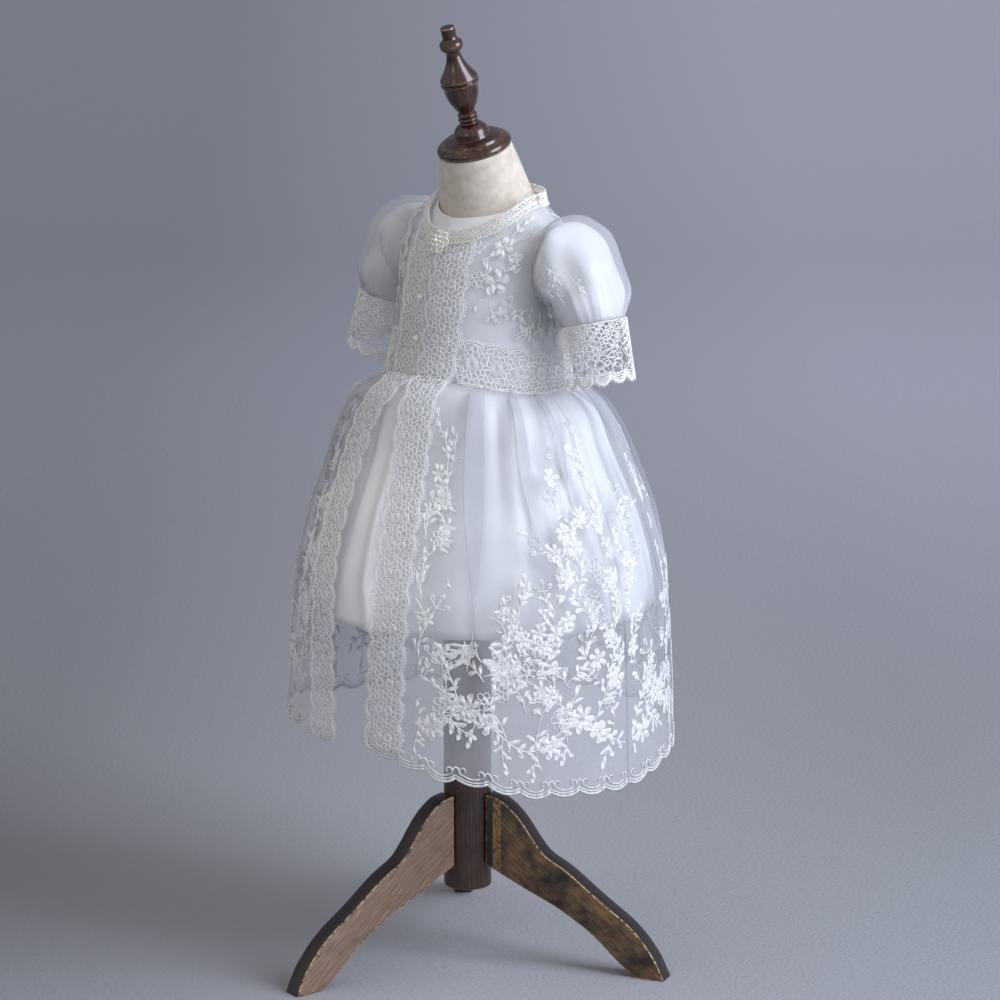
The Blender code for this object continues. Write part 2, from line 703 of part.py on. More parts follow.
# ---------------------------------------------------------------- lace
def cuff_lace(axis):
    """Each cuff is two half tubes with a row of six-sided holes, one for each half scallop."""
    scallop_columns = 4
    half_columns = CUFF_SCALLOPS * scallop_columns // 2
    seam_angle = 0.4
    hole_top, hole_bottom = CUFF_HOLE_ROW
    wrist = (SLEEVE[-1].top_x + SLEEVE[-1].under_x) / 2

    def place(hand, start, column, along, out):
        share = along / CUFF_LENGTH
        radius = CUFF_RADIUS_TOP + (CUFF_RADIUS_BOTTOM - CUFF_RADIUS_TOP) * share + out
        turn = math.radians(start + seam_angle + (180 - 2 * seam_angle) * column / half_columns)
        aside = radius * math.sin(turn)
        return Vector((hand * (wrist + CUFF_LEAN * share) + aside,
                       SLEEVE[-1].centre - CUFF_FORWARD * share - radius * math.cos(turn),
                       CUFF_TOP - along + CUFF_TILT * hand * aside))

    def hem(column):
        along = (column % scallop_columns) / scallop_columns
        return CUFF_LENGTH - CUFF_SCALLOP_DEPTH * (1 - math.sin(math.pi * along) ** 0.8)

    column_width = math.pi * (CUFF_RADIUS_TOP + CUFF_RADIUS_BOTTOM) / 2 / half_columns
    hole_columns = CUFF_HOLE / 2 / column_width

    for hand, side in ((1, "left"), (-1, "right")):
        for start, end_name in ((-90, "front"), (90, "back")):
            points = []
            faces = []
            known = {}

            def at(column, along, layer):
                key = (round(column, 4), round(along, 6), layer)
                if key not in known:
                    known[key] = len(points)
                    points.append(place(hand, start, column, along, -LACE * layer))
                return known[key]

            def skin(*corners):
                faces.append(tuple(at(*corner, 0) for corner in corners))
                faces.append(tuple(at(*corner, 1) for corner in reversed(corners)))

            def rim(first, second):
                faces.append((at(*first, 0), at(*first, 1), at(*second, 1), at(*second, 0)))

            for column in range(half_columns):
                skin((column, 0.0), (column, hole_top), (column + 1, hole_top), (column + 1, 0.0))
                skin((column, hole_bottom), (column, hem(column)),
                     (column + 1, hem(column + 1)), (column + 1, hole_bottom))
                rim((column + 1, 0.0), (column, 0.0))
                rim((column, hem(column)), (column + 1, hem(column + 1)))
            for column in range(0, half_columns, 2):
                middle = (column + 1, (hole_top + hole_bottom) / 2)
                cell = ((column, hole_top), (column, hole_bottom), (column + 1, hole_bottom),
                        (column + 2, hole_bottom), (column + 2, hole_top), (column + 1, hole_top))
                hole = []
                for corner in range(6):
                    turn = math.radians(150 + 60 * corner)
                    hole.append((middle[0] + hole_columns * math.cos(turn),
                                 middle[1] - CUFF_HOLE / 2 * math.sin(turn)))
                for corner in range(6):
                    after = (corner + 1) % 6
                    skin(cell[corner], cell[after], hole[after], hole[corner])
                    rim(hole[after], hole[corner])
            edges = ((0.0, hole_top), (hole_top, hole_bottom), (hole_bottom, hem(0)))
            for upper, lower in edges:
                rim((0, upper), (0, lower))
                rim((half_columns, lower), (half_columns, upper))
            add_piece(f"cuff_lace_{side}_{end_name}", points, faces, "lace", axis)


def front_lace_heights(side):
    """Heights down the skirt, each of its sections cut into even steps."""
    hem = hem_height(getattr(FRONT_EDGES[-1], side)) + TRIM_HEM
    heights = []
    for upper, lower in zip(COAT_SKIRT, COAT_SKIRT[1:]):
        bottom = max(lower.height, hem)
        path = math.hypot(upper.height - bottom, lower.half_width - upper.half_width)
        steps = max(1, round(path / TRIM_STEP))
        for step in range(1, steps + 1):
            heights.append(upper.height + (bottom - upper.height) * step / steps)
    return heights


def front_lace(axis):
    """A scalloped band down each front edge, over the bodice and on down the skirt."""
    columns = 3
    for hand, side in ((1, "left"), (-1, "right")):
        skirt_heights = front_lace_heights(side)
        rows = TRIM_ROWS_BODICE + len(skirt_heights)

        def point(row, column, out, hand=hand, side=side, skirt_heights=skirt_heights):
            share = column / columns if hand > 0 else 1 - column / columns
            across = TRIM_WIDTH * share
            if row % 2 == 0 and column in (0, columns):
                across += TRIM_SCALLOP * (0.5 - share)
            if row <= TRIM_ROWS_BODICE:
                down = row / TRIM_ROWS_BODICE
                sweep = min(1.0, across / COAT_NECK.half_width)
                rise = shoulder_top(COAT_NECK.half_width, 0) - COAT_NECK.front
                top = COAT_NECK.front + rise * (1 - math.sqrt(1 - sweep ** 2))
                top -= NECK_LACE_LAP + 4 * SEAM_GAP
                height = top + (WAIST - top) * down
                x = FRONT_EDGE + max(0.0, across)
                y = read(BODICE, height, "centre") - bodice_depth(x, height, 0.0)
                spot = Vector((x, y, height))
                spot += bodice_normal(spot, 0.0) * out
                spot.x = max(spot.x, FRONT_EDGE)
                spot.x *= hand
                return lifted(spot)
            height = skirt_heights[row - TRIM_ROWS_BODICE - 1]
            proud = TRIM_PROUD * ease(WAIST - height, 0.0, TRIM_STEP * 2)
            spread = math.degrees((across - proud) / read(COAT_SKIRT, height, "half_width"))
            return skirt_point(read(FRONT_EDGES, height, side) + hand * spread, height, out)
        wall_between(f"front_lace_{side}", point, rows, columns, LACE, "lace", axis, outside=LIE + LACE)


def waist_lace(axis):
    """A band of joined rings over the waist seam, between the two front bands."""
    def band(name, start, end):
        columns = round((end - start) / WAIST_LACE_STEP)

        def point(row, column, out):
            picot = WAIST_LACE_PICOT * (column % 2)
            height = (WAIST_LACE_TOP - picot, WAIST_LACE_BOTTOM)[row]
            return coat_bodice_at(start + (end - start) * column / columns, height, out)
        wall_between(name, point, 1, columns, LACE, "lace", axis, outside=LIE + LACE)

    seam = 0.12
    band("waist_lace_front_left", WAIST_LACE_START, 90 - seam)
    band("waist_lace_back", 90 + seam, 270 - seam)
    band("waist_lace_front_right", -90 + seam, -WAIST_LACE_START)


def neckline(side, share):
    """The coat's neckline from the middle, share 0, to the shoulder seam, share 1."""
    turn = share * math.pi / 2
    x = COAT_NECK.half_width * math.sin(turn)
    middle_top = COAT_NECK.front if side < 0 else COAT_NECK.back
    height = middle_top + (shoulder_top(COAT_NECK.half_width, 0.0) - middle_top) * (1 - math.cos(turn))
    return Vector((x, read(BODICE, height, "centre") + side * bodice_depth(x, height, 0.0), height))


def neck_band_point(side, share, row):
    """A point of the band's upper edge, row 0, or of its lower edge, which laps the coat."""
    edge = neckline(side, share)
    normal = bodice_normal(edge, 0.0)
    run = neckline(side, min(1.0, share + 0.04)) - neckline(side, max(0.0, share - 0.04))
    inward = normal.cross(run).normalized()
    from_neck = Vector((edge.x, edge.y - read(BODICE, edge.z, "centre"), 0.0))
    if inward.dot(from_neck) > 0:
        inward.negate()
    upright = NECK_LACE_UPRIGHT * (ease(share, 0.0, 1.0) if side < 0 else 1.0)
    rising = (inward * (1 - upright) + Vector((0.0, 0.0, upright))).normalized()
    away = -NECK_LACE_LAP if row else NECK_LACE_WIDTH - NECK_LACE_LAP
    return edge + normal * LIE + (inward if row else rising) * away


def neck_lace(axis):
    """A narrow band round the coat's neckline, its width measured over the cloth."""
    end = 0.985
    for hand, name in ((1, "neck_lace_front_left"), (-1, "neck_lace_front_right")):
        def point(row, column, _out, hand=hand):
            share = column / NECK_LACE_COLUMNS if hand > 0 else 1 - column / NECK_LACE_COLUMNS
            spot = neck_band_point(-1, share * end, row)
            spot.x = hand * max(FRONT_EDGE, spot.x)
            return spot
        inner = grid(point, 1, NECK_LACE_COLUMNS)
        wall(name, moved_out(inner, LACE, closed=False), inner, "lace", axis)

    def back_point(row, column, _out):
        share = 1 - column / NECK_LACE_COLUMNS
        spot = neck_band_point(1, abs(share) * end, row)
        spot.x = math.copysign(spot.x, share)
        return spot
    inner = grid(back_point, 1, 2 * NECK_LACE_COLUMNS)
    wall("neck_lace_back", moved_out(inner, LACE, closed=False), inner, "lace", axis)


# ---------------------------------------------------------------- turned pieces
def turned_piece(name, profile, sides, material, axis, base=(0.0, 0.0, 0.0), tilt=0.0):
    """A closed solid of revolution; it leans forward by tilt."""
    lean = math.radians(tilt)
    along_axis = Vector((0.0, -math.sin(lean), math.cos(lean)))
    forward = Vector((0.0, -math.cos(lean), -math.sin(lean)))
    sideways = Vector((1.0, 0.0, 0.0))
    points = []
    for turn in profile:
        middle = Vector(base) + along_axis * turn.along
        for side in range(sides):
            angle = 2 * math.pi * side / sides
            points.append(middle + sideways * turn.radius * math.sin(angle)
                          + forward * turn.radius * math.cos(angle))
    add_piece(name, points, tube_faces(len(profile), sides), material, axis)


def tube_faces(rings, sides):
    """Faces of stacked rings, from the bottom up, with flat ends."""
    faces = [tuple(reversed(range(sides)))]
    for ring in range(rings - 1):
        for side in range(sides):
            after = (side + 1) % sides
            low = ring * sides
            faces.append((low + side, low + after, low + sides + after, low + sides + side))
    faces.append(tuple((rings - 1) * sides + side for side in range(sides)))
    return faces


def buttons(axis):
    for button in BUTTONS:
        angle = math.degrees(math.asin(button.aside / read(BODICE, button.height, "half_width")))
        base = coat_bodice_at(angle, button.height, LIE + LACE + button.lift)
        outward = bodice_normal(coat_bodice_at(angle, button.height, 0.0), 0.0)
        dome = (
            Turn(0.0000, button.radius * 0.75),
            Turn(button.thickness * 0.35, button.radius),
            Turn(button.thickness * 0.70, button.radius * 0.85),
            Turn(button.thickness, button.radius * 0.45),
        )
        turned_piece(button.name, dome, 10, "beads", axis, base=base,
                     tilt=math.degrees(math.atan2(-outward.y, outward.z)))


def torso_form(axis):
    points = []
    for section in TORSO:
        tilt = math.radians(section.tilt)
        middle = Vector((0.0, section.centre, section.height))
        forward = Vector((0.0, -math.cos(tilt), -math.sin(tilt)))
        for side in range(TORSO_SIDES):
            angle = 2 * math.pi * side / TORSO_SIDES
            points.append(middle + Vector((section.half_width * math.sin(angle), 0.0, 0.0))
                          + forward * section.half_depth * math.cos(angle))
    add_piece("torso_form", points, tube_faces(len(TORSO), TORSO_SIDES), "linen", axis)


def stand(axis):
    base = (0.0, CAP_BASE[0], CAP_BASE[1])
    turned_piece("neck_cap", CAP, CAP_SIDES, "turned_wood", axis, base=base, tilt=NECK_TILT)
    turned_piece("finial", FINIAL, FINIAL_SIDES, "turned_wood", axis, base=base, tilt=NECK_TILT)
    column = (
        Turn(COLUMN_BOTTOM, COLUMN_RADIUS - LEG_BEVEL),
        Turn(COLUMN_BOTTOM + LEG_BEVEL, COLUMN_RADIUS),
        Turn(TORSO_BOTTOM - SEAM_GAP, COLUMN_RADIUS),
    )
    turned_piece("column", column, 24, "turned_wood", axis)


def leg(name, direction, axis):
    """A flat board cut to a curved outline, upright against the column."""
    outline = LEG_UPPER + LEG_LOWER
    count = len(outline)
    points = []
    for edge in (-1, 1):
        for rib in outline:
            points.append((edge * LEG_THICKNESS / 2, -rib.out, rib.height))
    faces = [tuple(reversed(range(count))), tuple(range(count, 2 * count))]
    for corner in range(count):
        after = (corner + 1) % count
        faces.append((corner, after, count + after, count + corner))
    board = add_piece(name, points, faces, "board_wood", axis)
    board.rotation_euler.z = math.radians(direction)
    bevel = board.modifiers.new("worn_edges", "BEVEL")
    bevel.width = LEG_BEVEL
    bevel.segments = 1
    bevel.limit_method = "ANGLE"
    bevel.angle_limit = math.radians(60)


clear_scene()
MATERIALS = {name: make_material(name) for name in COLOURS}
column_axis = bpy.data.objects.new("column_axis", None)
column_axis.location = (AXIS_X, AXIS_Y, 0.0)
bpy.context.collection.objects.link(column_axis)

torso_form(column_axis)
stand(column_axis)
for number, leg_angle in enumerate(LEG_ANGLES, start=1):
    leg(f"leg_{number}", leg_angle, column_axis)
dress_bodice(column_axis)
dress_skirt(column_axis)
sleeves(column_axis)
coat_bodice(column_axis)
coat_skirt(column_axis)
cuff_lace(column_axis)
front_lace(column_axis)
waist_lace(column_axis)
neck_lace(column_axis)
buttons(column_axis)
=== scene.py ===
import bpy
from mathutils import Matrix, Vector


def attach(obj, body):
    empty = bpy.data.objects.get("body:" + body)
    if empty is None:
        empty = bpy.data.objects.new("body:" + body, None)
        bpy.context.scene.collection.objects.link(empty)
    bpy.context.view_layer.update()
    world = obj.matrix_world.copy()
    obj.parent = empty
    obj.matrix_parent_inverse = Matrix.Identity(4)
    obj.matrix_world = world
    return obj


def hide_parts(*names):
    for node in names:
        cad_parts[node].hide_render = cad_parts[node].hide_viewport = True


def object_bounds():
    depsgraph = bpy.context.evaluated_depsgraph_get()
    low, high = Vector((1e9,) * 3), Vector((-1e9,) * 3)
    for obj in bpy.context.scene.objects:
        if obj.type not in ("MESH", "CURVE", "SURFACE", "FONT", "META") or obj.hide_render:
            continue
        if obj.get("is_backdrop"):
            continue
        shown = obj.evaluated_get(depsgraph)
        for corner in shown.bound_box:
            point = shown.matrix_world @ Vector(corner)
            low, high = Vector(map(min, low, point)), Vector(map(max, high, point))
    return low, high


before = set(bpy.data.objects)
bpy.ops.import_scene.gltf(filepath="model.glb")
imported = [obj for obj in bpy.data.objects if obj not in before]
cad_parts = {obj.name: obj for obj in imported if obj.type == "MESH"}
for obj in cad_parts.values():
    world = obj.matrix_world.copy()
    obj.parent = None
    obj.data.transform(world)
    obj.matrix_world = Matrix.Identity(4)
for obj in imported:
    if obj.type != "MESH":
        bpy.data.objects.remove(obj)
cadBox = [list(corner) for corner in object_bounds()]

import math

import bpy
import numpy as np
from mathutils import Vector

# A christening gown on a dress form. The gown faces -Y and the wearer's left is +X.
# Angles round the gown are in degrees from the centre front, positive to the wearer's left.

columnAxis = (-0.0065, 0.0005)     # x and y of the stand's column, which everything is measured from


# colours and materials

def linear(hexColour):
    # sRGB hex to the linear values that a shader wants
    parts = [int(hexColour[i:i + 2], 16) / 255 for i in (1, 3, 5)]
    return tuple(p / 12.92 if p <= 0.04045 else ((p + 0.055) / 1.055) ** 2.4 for p in parts) + (1.0,)


def addNode(tree, kind, settings=None, links=None):
    # one node, its settings, and the sockets that feed it; inputs go by name or number
    node = tree.nodes.new(kind)
    for name, value in (settings or {}).items():
        if name == "stops":
            while len(node.color_ramp.elements) < len(value):
                node.color_ramp.elements.new(0.5)
            for stop, (place, colour) in zip(node.color_ramp.elements, value):
                stop.position, stop.color = place, linear(colour)
        elif isinstance(name, str) and hasattr(node, name):
            setattr(node, name, value)
        else:
            node.inputs[name].default_value = value
    for name, source in (links or {}).items():
        tree.links.new(source, node.inputs[name])
    return node


def newMaterial(name, settings):
    material = bpy.data.materials.new(name)
    material.use_nodes = True
    shader = material.node_tree.nodes["Principled BSDF"]
    for socket, value in settings.items():
        shader.inputs[socket].default_value = value
    return material, material.node_tree, shader


fabricLook = {
    # polyester satin, woven with long floats: smooth, with a soft sheen that runs into the folds
    "Polyester satin, long-float weave": {
        "shader": {"Roughness": 0.28, "Sheen Weight": 0.12, "Sheen Roughness": 0.4},
        "tint": [(0.3, "#ebedf0"), (0.7, "#f6f7f8")],
        "drift": 0.045,                # metres from one soft crease to the next
        "creases": (0.35, 0.004),      # strength and depth; none where the line is left out
        "thread": (0.0009, "X", 0.6),  # pitch (the real 0.2 mm is too fine to show), direction, unevenness
        "relief": (0.1, 0.0002),
    },
    # silk-like organza, plain weave of hard twisted yarn: sheer and crisp, with a faint cool shine
    "Organza, sheer plain weave": {
        "shader": {"Roughness": 0.5, "Alpha": 0.21, "Sheen Weight": 0.45, "Sheen Roughness": 0.35},
        "tint": [(0.3, "#dfe2e8"), (0.7, "#e9ecf2")],
        "drift": 0.03,
        "creases": (0.1, 0.002),
        "thread": (0.0011, "X", 0.3),  # the real 0.35 mm, drawn coarser
        "relief": (0.12, 0.0002),
    },
    # rayon embroidery thread laid in satin stitch: silky, in slanting ridges across each leaf
    "Rayon thread, satin stitch": {
        "shader": {"Roughness": 0.42, "Sheen Weight": 0.25, "Sheen Roughness": 0.3},
        "tint": [(0.35, "#e0e1e3"), (0.6, "#eeefee")],
        "drift": 0.008,
        "thread": (0.0022, "DIAGONAL", 1.2),   # rows of stitches, drawn about three times as coarse as real
        "relief": (1.0, 0.0007),
    },
    # cotton guipure, stitched on a ground that is dissolved away: matt twisted cords, slightly cream
    "Cotton guipure lace, chemical-lace cords": {
        "shader": {"Roughness": 0.75, "Sheen Weight": 0.3, "Sheen Roughness": 0.5},
        "tint": [(0.35, "#f9f8f5"), (0.6, "#ffffff")],
        "drift": 0.012,
        "thread": (0.0013, "DIAGONAL", 1.0),   # the twist of the cord
        "relief": (0.35, 0.0003),
    },
    # the same lace dyed a shade of ivory, for the neck and its flower
    "Cotton crochet lace, ivory": {
        "shader": {"Roughness": 0.75, "Sheen Weight": 0.3, "Sheen Roughness": 0.5},
        "tint": [(0.35, "#f7f4ed"), (0.62, "#fffefb")],
        "drift": 0.006,
        "thread": (0.0013, "DIAGONAL", 1.0),
        "relief": (0.7, 0.0004),
    },
    # pressed glass beads with a pearl lustre: creamy and glossy
    "Pearl-coated glass beads": {
        "shader": {"Roughness": 0.18, "Coat Weight": 0.6, "Coat Roughness": 0.08},
        "tint": [(0.35, "#e9e4d8"), (0.65, "#fbf8f1")],
        "drift": 0.0017,
        "thread": (0.004, "X", 2.0),          # the swirl of the coating
        "relief": (0.05, 0.0001),
    },
    # half-bleached linen stretched over the form: cream, matt, with thin slubs across and along
    "Half-bleached linen, plain weave": {
        "shader": {"Roughness": 0.9, "Sheen Weight": 0.2},
        "tint": [(0.3, "#cfc3b3"), (0.7, "#e4dbce")],
        "drift": 0.01,
        "creases": (0.05, 0.001),
        "thread": (0.0012, "Y", 4.0),          # the real 0.6 mm, drawn coarser
        "relief": (0.35, 0.0003),
    },
}


def makeFabric(name):
    # the colour drifts a little from place to place; creases and threads are relief
    look = fabricLook[name]
    material, tree, shader = newMaterial(name, look["shader"])
    place = addNode(tree, "ShaderNodeTexCoord").outputs["Object"]
    cloth = addNode(tree, "ShaderNodeUVMap", {"uv_map": "cloth"}).outputs["UV"]
    drift = addNode(tree, "ShaderNodeTexNoise", {"Scale": 1 / look["drift"], "Detail": 3.0},
                    {"Vector": place}).outputs["Fac"]
    tint = addNode(tree, "ShaderNodeValToRGB", {"stops": look["tint"]}, {"Fac": drift}).outputs["Color"]
    pitch, direction, uneven = look["thread"]
    thread = addNode(tree, "ShaderNodeTexWave",
                     {"Scale": 1 / pitch / 6.283, "bands_direction": direction, "Distortion": uneven},
                     {"Vector": cloth}).outputs["Fac"]
    strength, depth = look.get("creases", (0.0, 0.001))
    creases = addNode(tree, "ShaderNodeBump", {"Strength": strength, "Distance": depth},
                      {"Height": drift}).outputs["Normal"]
    strength, depth = look["relief"]
    relief = addNode(tree, "ShaderNodeBump", {"Strength": strength, "Distance": depth},
                     {"Height": thread, "Normal": creases}).outputs["Normal"]
    tree.links.new(tint, shader.inputs["Base Color"])
    tree.links.new(relief, shader.inputs["Normal"])
    return material


woodLook = {
    # beech turned on a lathe, mahogany stain and gloss lacquer, rubbed bare at the tip
    "Turned beech, mahogany stain and lacquer": {
        "shader": {"Roughness": 0.3, "Coat Weight": 0.8, "Coat Roughness": 0.1},
        "grain": (0.0035, 0.03),      # width and length of a streak, in metres
        "stain": [(0.3, "#180a07"), (0.5, "#36170e"), (0.72, "#61301b")],
        "soot": (0.02, 0.5, 0.85),   # size of the dark patches, and where they begin and end in the noise
        "black": "#160906",
        "worn": "#c39b72",
    },
    # a softwood pole, dark stain, satin lacquer
    "Softwood pole, dark stain": {
        "shader": {"Roughness": 0.42, "Coat Weight": 0.25, "Coat Roughness": 0.3},
        "grain": (0.0016, 0.06),
        "stain": [(0.32, "#291c17"), (0.52, "#48332a"), (0.72, "#694a38")],
        "soot": (0.05, 0.45, 0.8),
        "black": "#17100d",
        "worn": "#8d6d4e",
    },
    # sawn board, brown stain rubbed back along the grain, with pale worn arrises
    "Sawn softwood board, brown rubbed stain": {
        "shader": {"Roughness": 0.55, "Coat Weight": 0.12, "Coat Roughness": 0.4},
        "grain": (0.0011, 0.028),
        "stain": [(0.32, "#5f4c41"), (0.5, "#866d5c"), (0.68, "#a98f7b")],
        "soot": (0.035, 0.56, 0.85),
        "black": "#3a2a22",
        "worn": "#b99a74",
    },
    # the same board, planed: the stain sits in dark clouds over golden wood
    "Planed softwood board, clouded stain": {
        "shader": {"Roughness": 0.45, "Coat Weight": 0.2, "Coat Roughness": 0.35},
        "grain": (0.0022, 0.03),
        "stain": [(0.3, "#4a3624"), (0.5, "#755a3c"), (0.72, "#9c7b54")],
        "soot": (0.03, 0.4, 0.62),
        "black": "#211915",
        "worn": "#b08a58",
    },
    # edge of a board, stained almost black; also laid as painted shade on the planed leg's flat face next to
    # the column
    "Board edge, black stain and painted shade": {
        "shader": {"Roughness": 0.4, "Coat Weight": 0.3, "Coat Roughness": 0.3},
        "grain": (0.0016, 0.05),
        "stain": [(0.35, "#16110f"), (0.55, "#231b18"), (0.75, "#33271f")],
        "soot": (0.04, 0.5, 0.8),
        "black": "#120e0d",
        "worn": "#c4a377",
    },
}


def makeWood(name):
    # streaks along the grain, dark clouds over them, and bare wood where "wear" says so
    look = woodLook[name]
    material, tree, shader = newMaterial(name, look["shader"])
    width, length = look["grain"]
    grainMap = addNode(tree, "ShaderNodeUVMap", {"uv_map": "grain"}).outputs["UV"]
    drawn = addNode(tree, "ShaderNodeMapping", {"Scale": (width / length, 1.0, 1.0)},
                    {"Vector": grainMap}).outputs["Vector"]
    streaks = addNode(tree, "ShaderNodeTexNoise", {"Scale": 1 / width, "Detail": 4.0, "Roughness": 0.65},
                      {"Vector": drawn}).outputs["Fac"]
    stain = addNode(tree, "ShaderNodeValToRGB", {"stops": look["stain"]}, {"Fac": streaks}).outputs["Color"]
    place = addNode(tree, "ShaderNodeTexCoord").outputs["Object"]
    size, begins, ends = look["soot"]
    clouds = addNode(tree, "ShaderNodeTexNoise", {"Scale": 1 / size, "Detail": 5.0, "Roughness": 0.62},
                     {"Vector": place}).outputs["Fac"]
    sooty = addNode(tree, "ShaderNodeMapRange", {"From Min": begins, "From Max": ends},
                    {"Value": clouds}).outputs["Result"]
    dark = addNode(tree, "ShaderNodeMix", {"data_type": "RGBA", 7: linear(look["black"])},
                   {0: sooty, 6: stain}).outputs[2]
    wear = addNode(tree, "ShaderNodeAttribute", {"attribute_name": "wear"}).outputs["Fac"]
    patchy = addNode(tree, "ShaderNodeTexNoise", {"Scale": 300.0, "Detail": 3.0},
                     {"Vector": place}).outputs["Fac"]
    broken = addNode(tree, "ShaderNodeMapRange", {"From Min": 0.35, "From Max": 0.6},
                     {"Value": patchy}).outputs["Result"]
    rubbed = addNode(tree, "ShaderNodeMath", {"operation": "MULTIPLY"}, {0: wear, 1: broken}).outputs["Value"]
    finished = addNode(tree, "ShaderNodeMix", {"data_type": "RGBA", 7: linear(look["worn"])},
                       {0: rubbed, 6: dark}).outputs[2]
    relief = addNode(tree, "ShaderNodeBump", {"Strength": 0.25, "Distance": 0.0004},
                     {"Height": streaks}).outputs["Normal"]
    tree.links.new(finished, shader.inputs["Base Color"])
    tree.links.new(relief, shader.inputs["Normal"])
    return material


satin, organza, embroideryThread, laceCord, ivoryLace, pearl, linen = map(makeFabric, fabricLook)
turnedWood, poleWood, sawnBoard, planedBoard, edgeStainAndShade = map(makeWood, woodLook)
print("materials ready")


# shape of the gown

def smoothCurve(rows, column):
    # a smooth line through a table's column against its first column, with no overshoot
    rows = sorted(rows)
    place = np.array([row[0] for row in rows])
    value = np.array([row[column] for row in rows])
    step = np.diff(place)
    rise = np.diff(value) / step
    slope = np.concatenate(([rise[0]], np.zeros(len(rise) - 1), [rise[-1]]))
    for i in range(1, len(rise)):
        if rise[i - 1] * rise[i] > 0:
            slope[i] = 2 * rise[i - 1] * rise[i] / (rise[i - 1] + rise[i])

    def at(where):
        where = np.clip(where, place[0], place[-1])
        i = np.clip(np.searchsorted(place, where) - 1, 0, len(step) - 1)
        t = (where - place[i]) / step[i]
        return ((1 + 2 * t) * (1 - t) ** 2 * value[i] + t * (1 - t) ** 2 * step[i] * slope[i]
                + t * t * (3 - 2 * t) * value[i + 1] + t * t * (t - 1) * step[i] * slope[i + 1])
    return at


def ease(value, start, end):
    t = np.clip((value - start) / (end - start), 0, 1)
    return t * t * (3 - 2 * t)


def joined(x, y, z):
    return np.stack(np.broadcast_arrays(x, y, z), axis=-1)


def metres(rows):
    return [tuple(value / 1000 for value in row) for row in rows]


def apart(angle, middle):
    # degrees from the middle, the short way round
    return (angle - middle + 180) % 360 - 180


def unit(vectors):
    return vectors / np.maximum(np.linalg.norm(vectors, axis=-1, keepdims=True), 1e-9)


bodiceShape = {
    # height, half width, half depth and centre, in millimetres
    "rows": [(810, 102, 67, 33), (780, 101, 69, 33), (755, 96, 71.5, 28), (735, 92, 74, 24),
        (700, 89, 80, 21), (665, 91.5, 83, 20), (640, 95, 87, 19), (614, 99.5, 94, 19)],
    "waist": 0.614,
    "waistLift": 0.018,            # how much higher the waist is at the centre front
    "waistLiftFrom": 0.52,
    "waistLiftTo": 0.73,
    "chest": 0.735,
    "shoulderRise": 0.842,
    "shoulderSlope": 0.65,
    "armholeBottom": 0.705,
    "armholeTop": 0.781,
    "armholeFront": 0.026,
    "armholeRear": 0.037,
    "armholeInset": 1.6,
    "neckShare": 0.62,
    "frontEdge": 0.0008,
    "seamGap": 0.0003,
    "satinUnder": 0.004,           # how far the satin bodice lies inside the coat
    # half width, front height, back height; on the right both lie closer to the neck
    "coatNeck": {1: (0.068, 0.763, 0.798), -1: (0.0475, 0.763, 0.798)},
    "dressNeck": {1: (0.056, 0.787, 0.796), -1: (0.042, 0.788, 0.798)},
    "rowsBelow": 14,
    "rowsArmhole": 30,
    "columns": 34,                  # from the middle to the side
}
bodiceRows = metres(bodiceShape["rows"])
bodiceWidth, bodiceDeep, bodiceCentre = (smoothCurve(bodiceRows, i) for i in (1, 2, 3))
bodiceFoot = bodiceShape["waist"] + bodiceShape["seamGap"]


def lifted(spots):
    # the waist rises towards the centre front
    _, _, halfDepth, centre = bodiceRows[-1]
    forward = np.clip((centre - spots[..., 1]) / halfDepth, 0, 1) ** 2
    near = (ease(spots[..., 2], bodiceShape["waistLiftFrom"], bodiceShape["waist"])
            * (1 - ease(spots[..., 2], bodiceShape["waist"], bodiceShape["waistLiftTo"])))
    spots = spots.copy()
    spots[..., 2] += bodiceShape["waistLift"] * forward * near
    return spots


def shoulderTop(x, base):
    return bodiceShape["shoulderRise"] - bodiceShape["shoulderSlope"] * np.abs(x) + base


def bodiceHalf(x, height, base):
    across = np.clip(1 - (x / (bodiceWidth(height) + base)) ** 2, 0, None)
    chest = bodiceShape["chest"]      # above it the cloth rolls over to the shoulder
    rolled = np.clip((height - chest) / (shoulderTop(x, base) - chest), 0, 1)
    return (bodiceDeep(height) + base) * np.sqrt(across) * np.sqrt(1 - rolled ** 2)


def bodiceLevel(spots, base):
    x, y, z = spots[..., 0], spots[..., 1], spots[..., 2]
    chest = bodiceShape["chest"]
    rolled = np.clip(z - chest, 0, None) / (shoulderTop(x, base) - chest)
    inside = (1 - (x / (bodiceWidth(z) + base)) ** 2) * (1 - rolled ** 2)
    return ((y - bodiceCentre(z)) / (bodiceDeep(z) + base)) ** 2 - inside


def bodiceNormal(spots, base):
    slopes = []
    for axis in range(3):
        step = np.zeros(3)
        step[axis] = 0.002
        slopes.append(bodiceLevel(spots + step, base) - bodiceLevel(spots - step, base))
    return unit(np.stack(slopes, axis=-1))


def armholeEnds(base):
    return (bodiceShape["armholeBottom"] - bodiceShape["armholeInset"] * base,
            bodiceShape["armholeTop"] + base)


